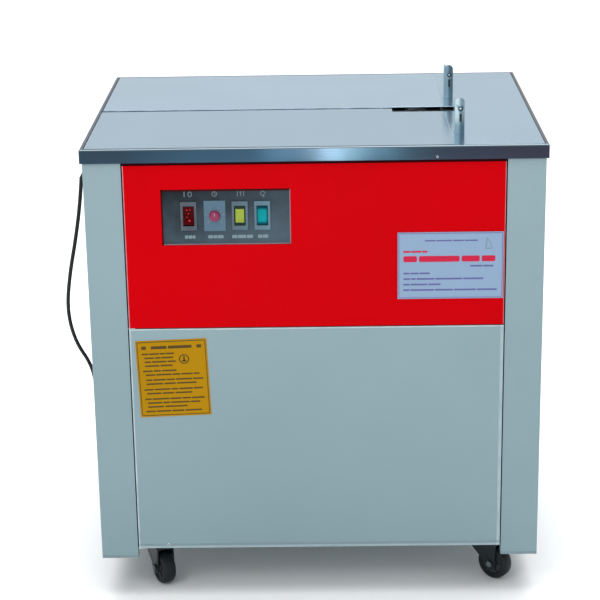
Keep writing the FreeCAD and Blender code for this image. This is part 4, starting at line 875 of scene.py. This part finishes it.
plug_body_z = box_mm("cord_plug")[0].z + 11.0
sections = []
for i in range(15):
    share = i / 14
    rise = 0.45 if i % 2 else 0.0
    radius = 4.0 + 2.7 * share - rise
    height = plug_mm.z + (plug_body_z - plug_mm.z) * share
    sections.append((-28.0 * share, superellipse(radius, radius, 2.0), height))
for y, w, h, power in ((-28.6, 9.0, 8.0, 2.2), (-32.5, 11.8, 10.0, 2.6), (-37.0, 12.8, 10.8, 3.2),
                       (-44.0, 11.6, 9.6, 3.4), (-50.0, 11.6, 9.6, 3.4), (-57.0, 12.8, 10.8, 3.6),
                       (-62.0, 12.9, 10.9, 4.0), (-63.8, 12.2, 10.2, 4.0), (-64.0, 10.0, 8.0, 4.0)):
    sections.append((y, superellipse(w, h, power), plug_body_z))
plug = bmesh.new()
rings = [[plug.verts.new((u, y, z + v)) for u, v in outline] for y, outline, z in sections]
for a, b in zip(rings, rings[1:]):
    for i in range(len(a)):
        plug.faces.new((a[i], a[(i + 1) % len(a)], b[(i + 1) % len(b)], b[i]))
plug.faces.new(rings[0])
plug.faces.new(rings[-1])
plug_place = millimetres((plug_mm.x, plug_mm.y, 0))
plug_black = moulded("plug moulding", (0.014, 0.015, 0.016), 0.4)
plug_body = piece("plug_body", plug, [plug_black], "root", plug_place, ["cord_plug"], smooth=50)
pins = bmesh.new()
for side in (-9.5, 9.5):
    pin = bmesh.new()
    turned(pin, [(0, -83.0, 0), (1.6, -82.7, 0), (2.4, -81.2, 0), (2.4, -63.9, 0), (0, -63.9, 0)], 28)
    merge(pins, pin, Matrix.Translation((side, 0, plug_body_z)))
plug_pins = piece("plug_pins", pins, [bright_zinc], "root", plug_place)

# Cord bushing: a flange on the side panel and a ribbed boot that leads the cord down and out.
wall_point, boot_tip = Vector((-CABINET_X, -208.0, 744.0)), route[0] / MM
boot_axis = (boot_tip - wall_point).normalized()
gland = bmesh.new()
flange = bmesh.new()
turned(flange, [(0, -3.2, 0), (7.6, -3.2, 0), (9.2, -2.0, 0), (9.6, 0.0, 0), (0, 0.0, 0)], 40)
merge(gland, flange, Matrix.Translation(wall_point + Vector((0, 0, 1.5))) @ facing((-1, 0)))
boot = bmesh.new()
length = (boot_tip - wall_point).length
ribs = [(6.6 - 2.2 * i / 16 - (0.5 if i % 2 else 0.0), -length * i / 16, 0) for i in range(17)]
turned(boot, [(0, 2.0, 0), (6.6, 2.0, 0)] + ribs + [(3.3, -length - 0.2, 0)], 36)
merge(gland, boot, Matrix.Translation(wall_point) @ (-boot_axis).to_track_quat("Y", "Z").to_matrix().to_4x4())
cord_boot = piece("cord_bushing", gland, [looks["cord_black"]], "root", millimetres(),
                  ["cord_gland"], smooth=50)

# Hook-and-loop tie round the coil.
tie = bmesh.new()
middle_radius, half_across = sum(TURN_RADII) / 3 / MM, (TURN_RADII[0] - TURN_RADII[2]) / 2 / MM + 3.7
outer = rounded(2 * half_across + 1.2, 14.6, 3.6, (middle_radius, 6.7))
inner = rounded(2 * half_across, 13.4, 3.2, (middle_radius, 6.7))
band(tie, outer, inner, -6.0, 6.0)
tie_turn = Matrix.Rotation(math.radians(35), 4, "Z")
coil_tie = piece("coil_tie", tie, [moulded("tie fabric", (0.02, 0.02, 0.022), 0.9, grain=0.0003)], "root",
                 millimetres((coil_centre.x / MM, coil_centre.y / MM, 0), tie_turn), bevel=0.3)


# ---- stage: floor, lights, camera ---------------------------------------------------------------------
scene = bpy.context.scene
scene.view_settings.view_transform = "Standard"
world = bpy.data.worlds.new("studio")
scene.world = world
world.use_nodes = True
sky = world.node_tree.nodes["Background"]
sky.inputs["Color"].default_value = (0.95, 0.98, 1.0, 1.0)
sky.inputs["Strength"].default_value = 0.74

floor_mesh = bpy.data.meshes.new("floor")
floor_mesh.from_pydata([(-30, -30, 0), (30, -30, 0), (30, 30, 0), (-30, 30, 0)], [], [(0, 1, 2, 3)])
floor = bpy.data.objects.new("floor", floor_mesh)
scene.collection.objects.link(floor)
floor_mesh.materials.append(painted("floor", (0.93, 0.93, 0.93), 0.7, mottle=0.005, grime=0.0))


def area_light(name, place, target, size, power, colour=(1, 1, 1)):
    light = bpy.data.lights.new(name, "AREA")
    light.shape, light.size, light.size_y = "RECTANGLE", size[0], size[1]
    light.energy, light.color = power, colour
    lamp = bpy.data.objects.new(name, light)
    lamp.location = place
    lamp.rotation_euler = (Vector(target) - Vector(place)).to_track_quat("-Z", "Y").to_euler()
    lamp.visible_camera = False
    scene.collection.objects.link(lamp)


area_light("overhead", (0.1, 0.3, 3.9), (0.05, 0.25, 0.0), (4.0, 4.0), 170)
area_light("backdrop", (0.0, 6.0, 5.0), (0.0, 5.5, 0.0), (5.0, 2.5), 170)
area_light("key", (-1.7, -3.0, 2.9), (0, 0, 0.5), (1.2, 1.2), 24)
area_light("front strip", (0.046, -3.10, 0.20), (0.03, 0, 0.70), (0.070, 0.40), 1.7, (1.0, 0.88, 0.78))
area_light("front wash", (0.046, -3.16, 0.22), (0.03, 0, 0.70), (0.40, 0.40), 0.8)

CAMERA_PLACE = (0.017083, -3.205839, 1.489467)
camera_data = bpy.data.cameras.new("camera")
camera_data.sensor_width = 36.0
camera_data.lens = 111.66
camera = bpy.data.objects.new("camera", camera_data)
pitch, yaw, roll = math.radians(18.115), math.radians(-0.847), math.radians(-0.94)
forward = Vector((math.sin(yaw) * math.cos(pitch), math.cos(yaw) * math.cos(pitch), -math.sin(pitch)))
level = Vector((math.cos(yaw), -math.sin(yaw), 0))
upright = level.cross(forward)
right = math.cos(roll) * level + math.sin(roll) * upright
up = -math.sin(roll) * level + math.cos(roll) * upright
orientation = Matrix((right, up, -forward)).transposed().to_4x4()
camera.matrix_world = Matrix.Translation(CAMERA_PLACE) @ orientation
scene.collection.objects.link(camera)
scene.camera = camera
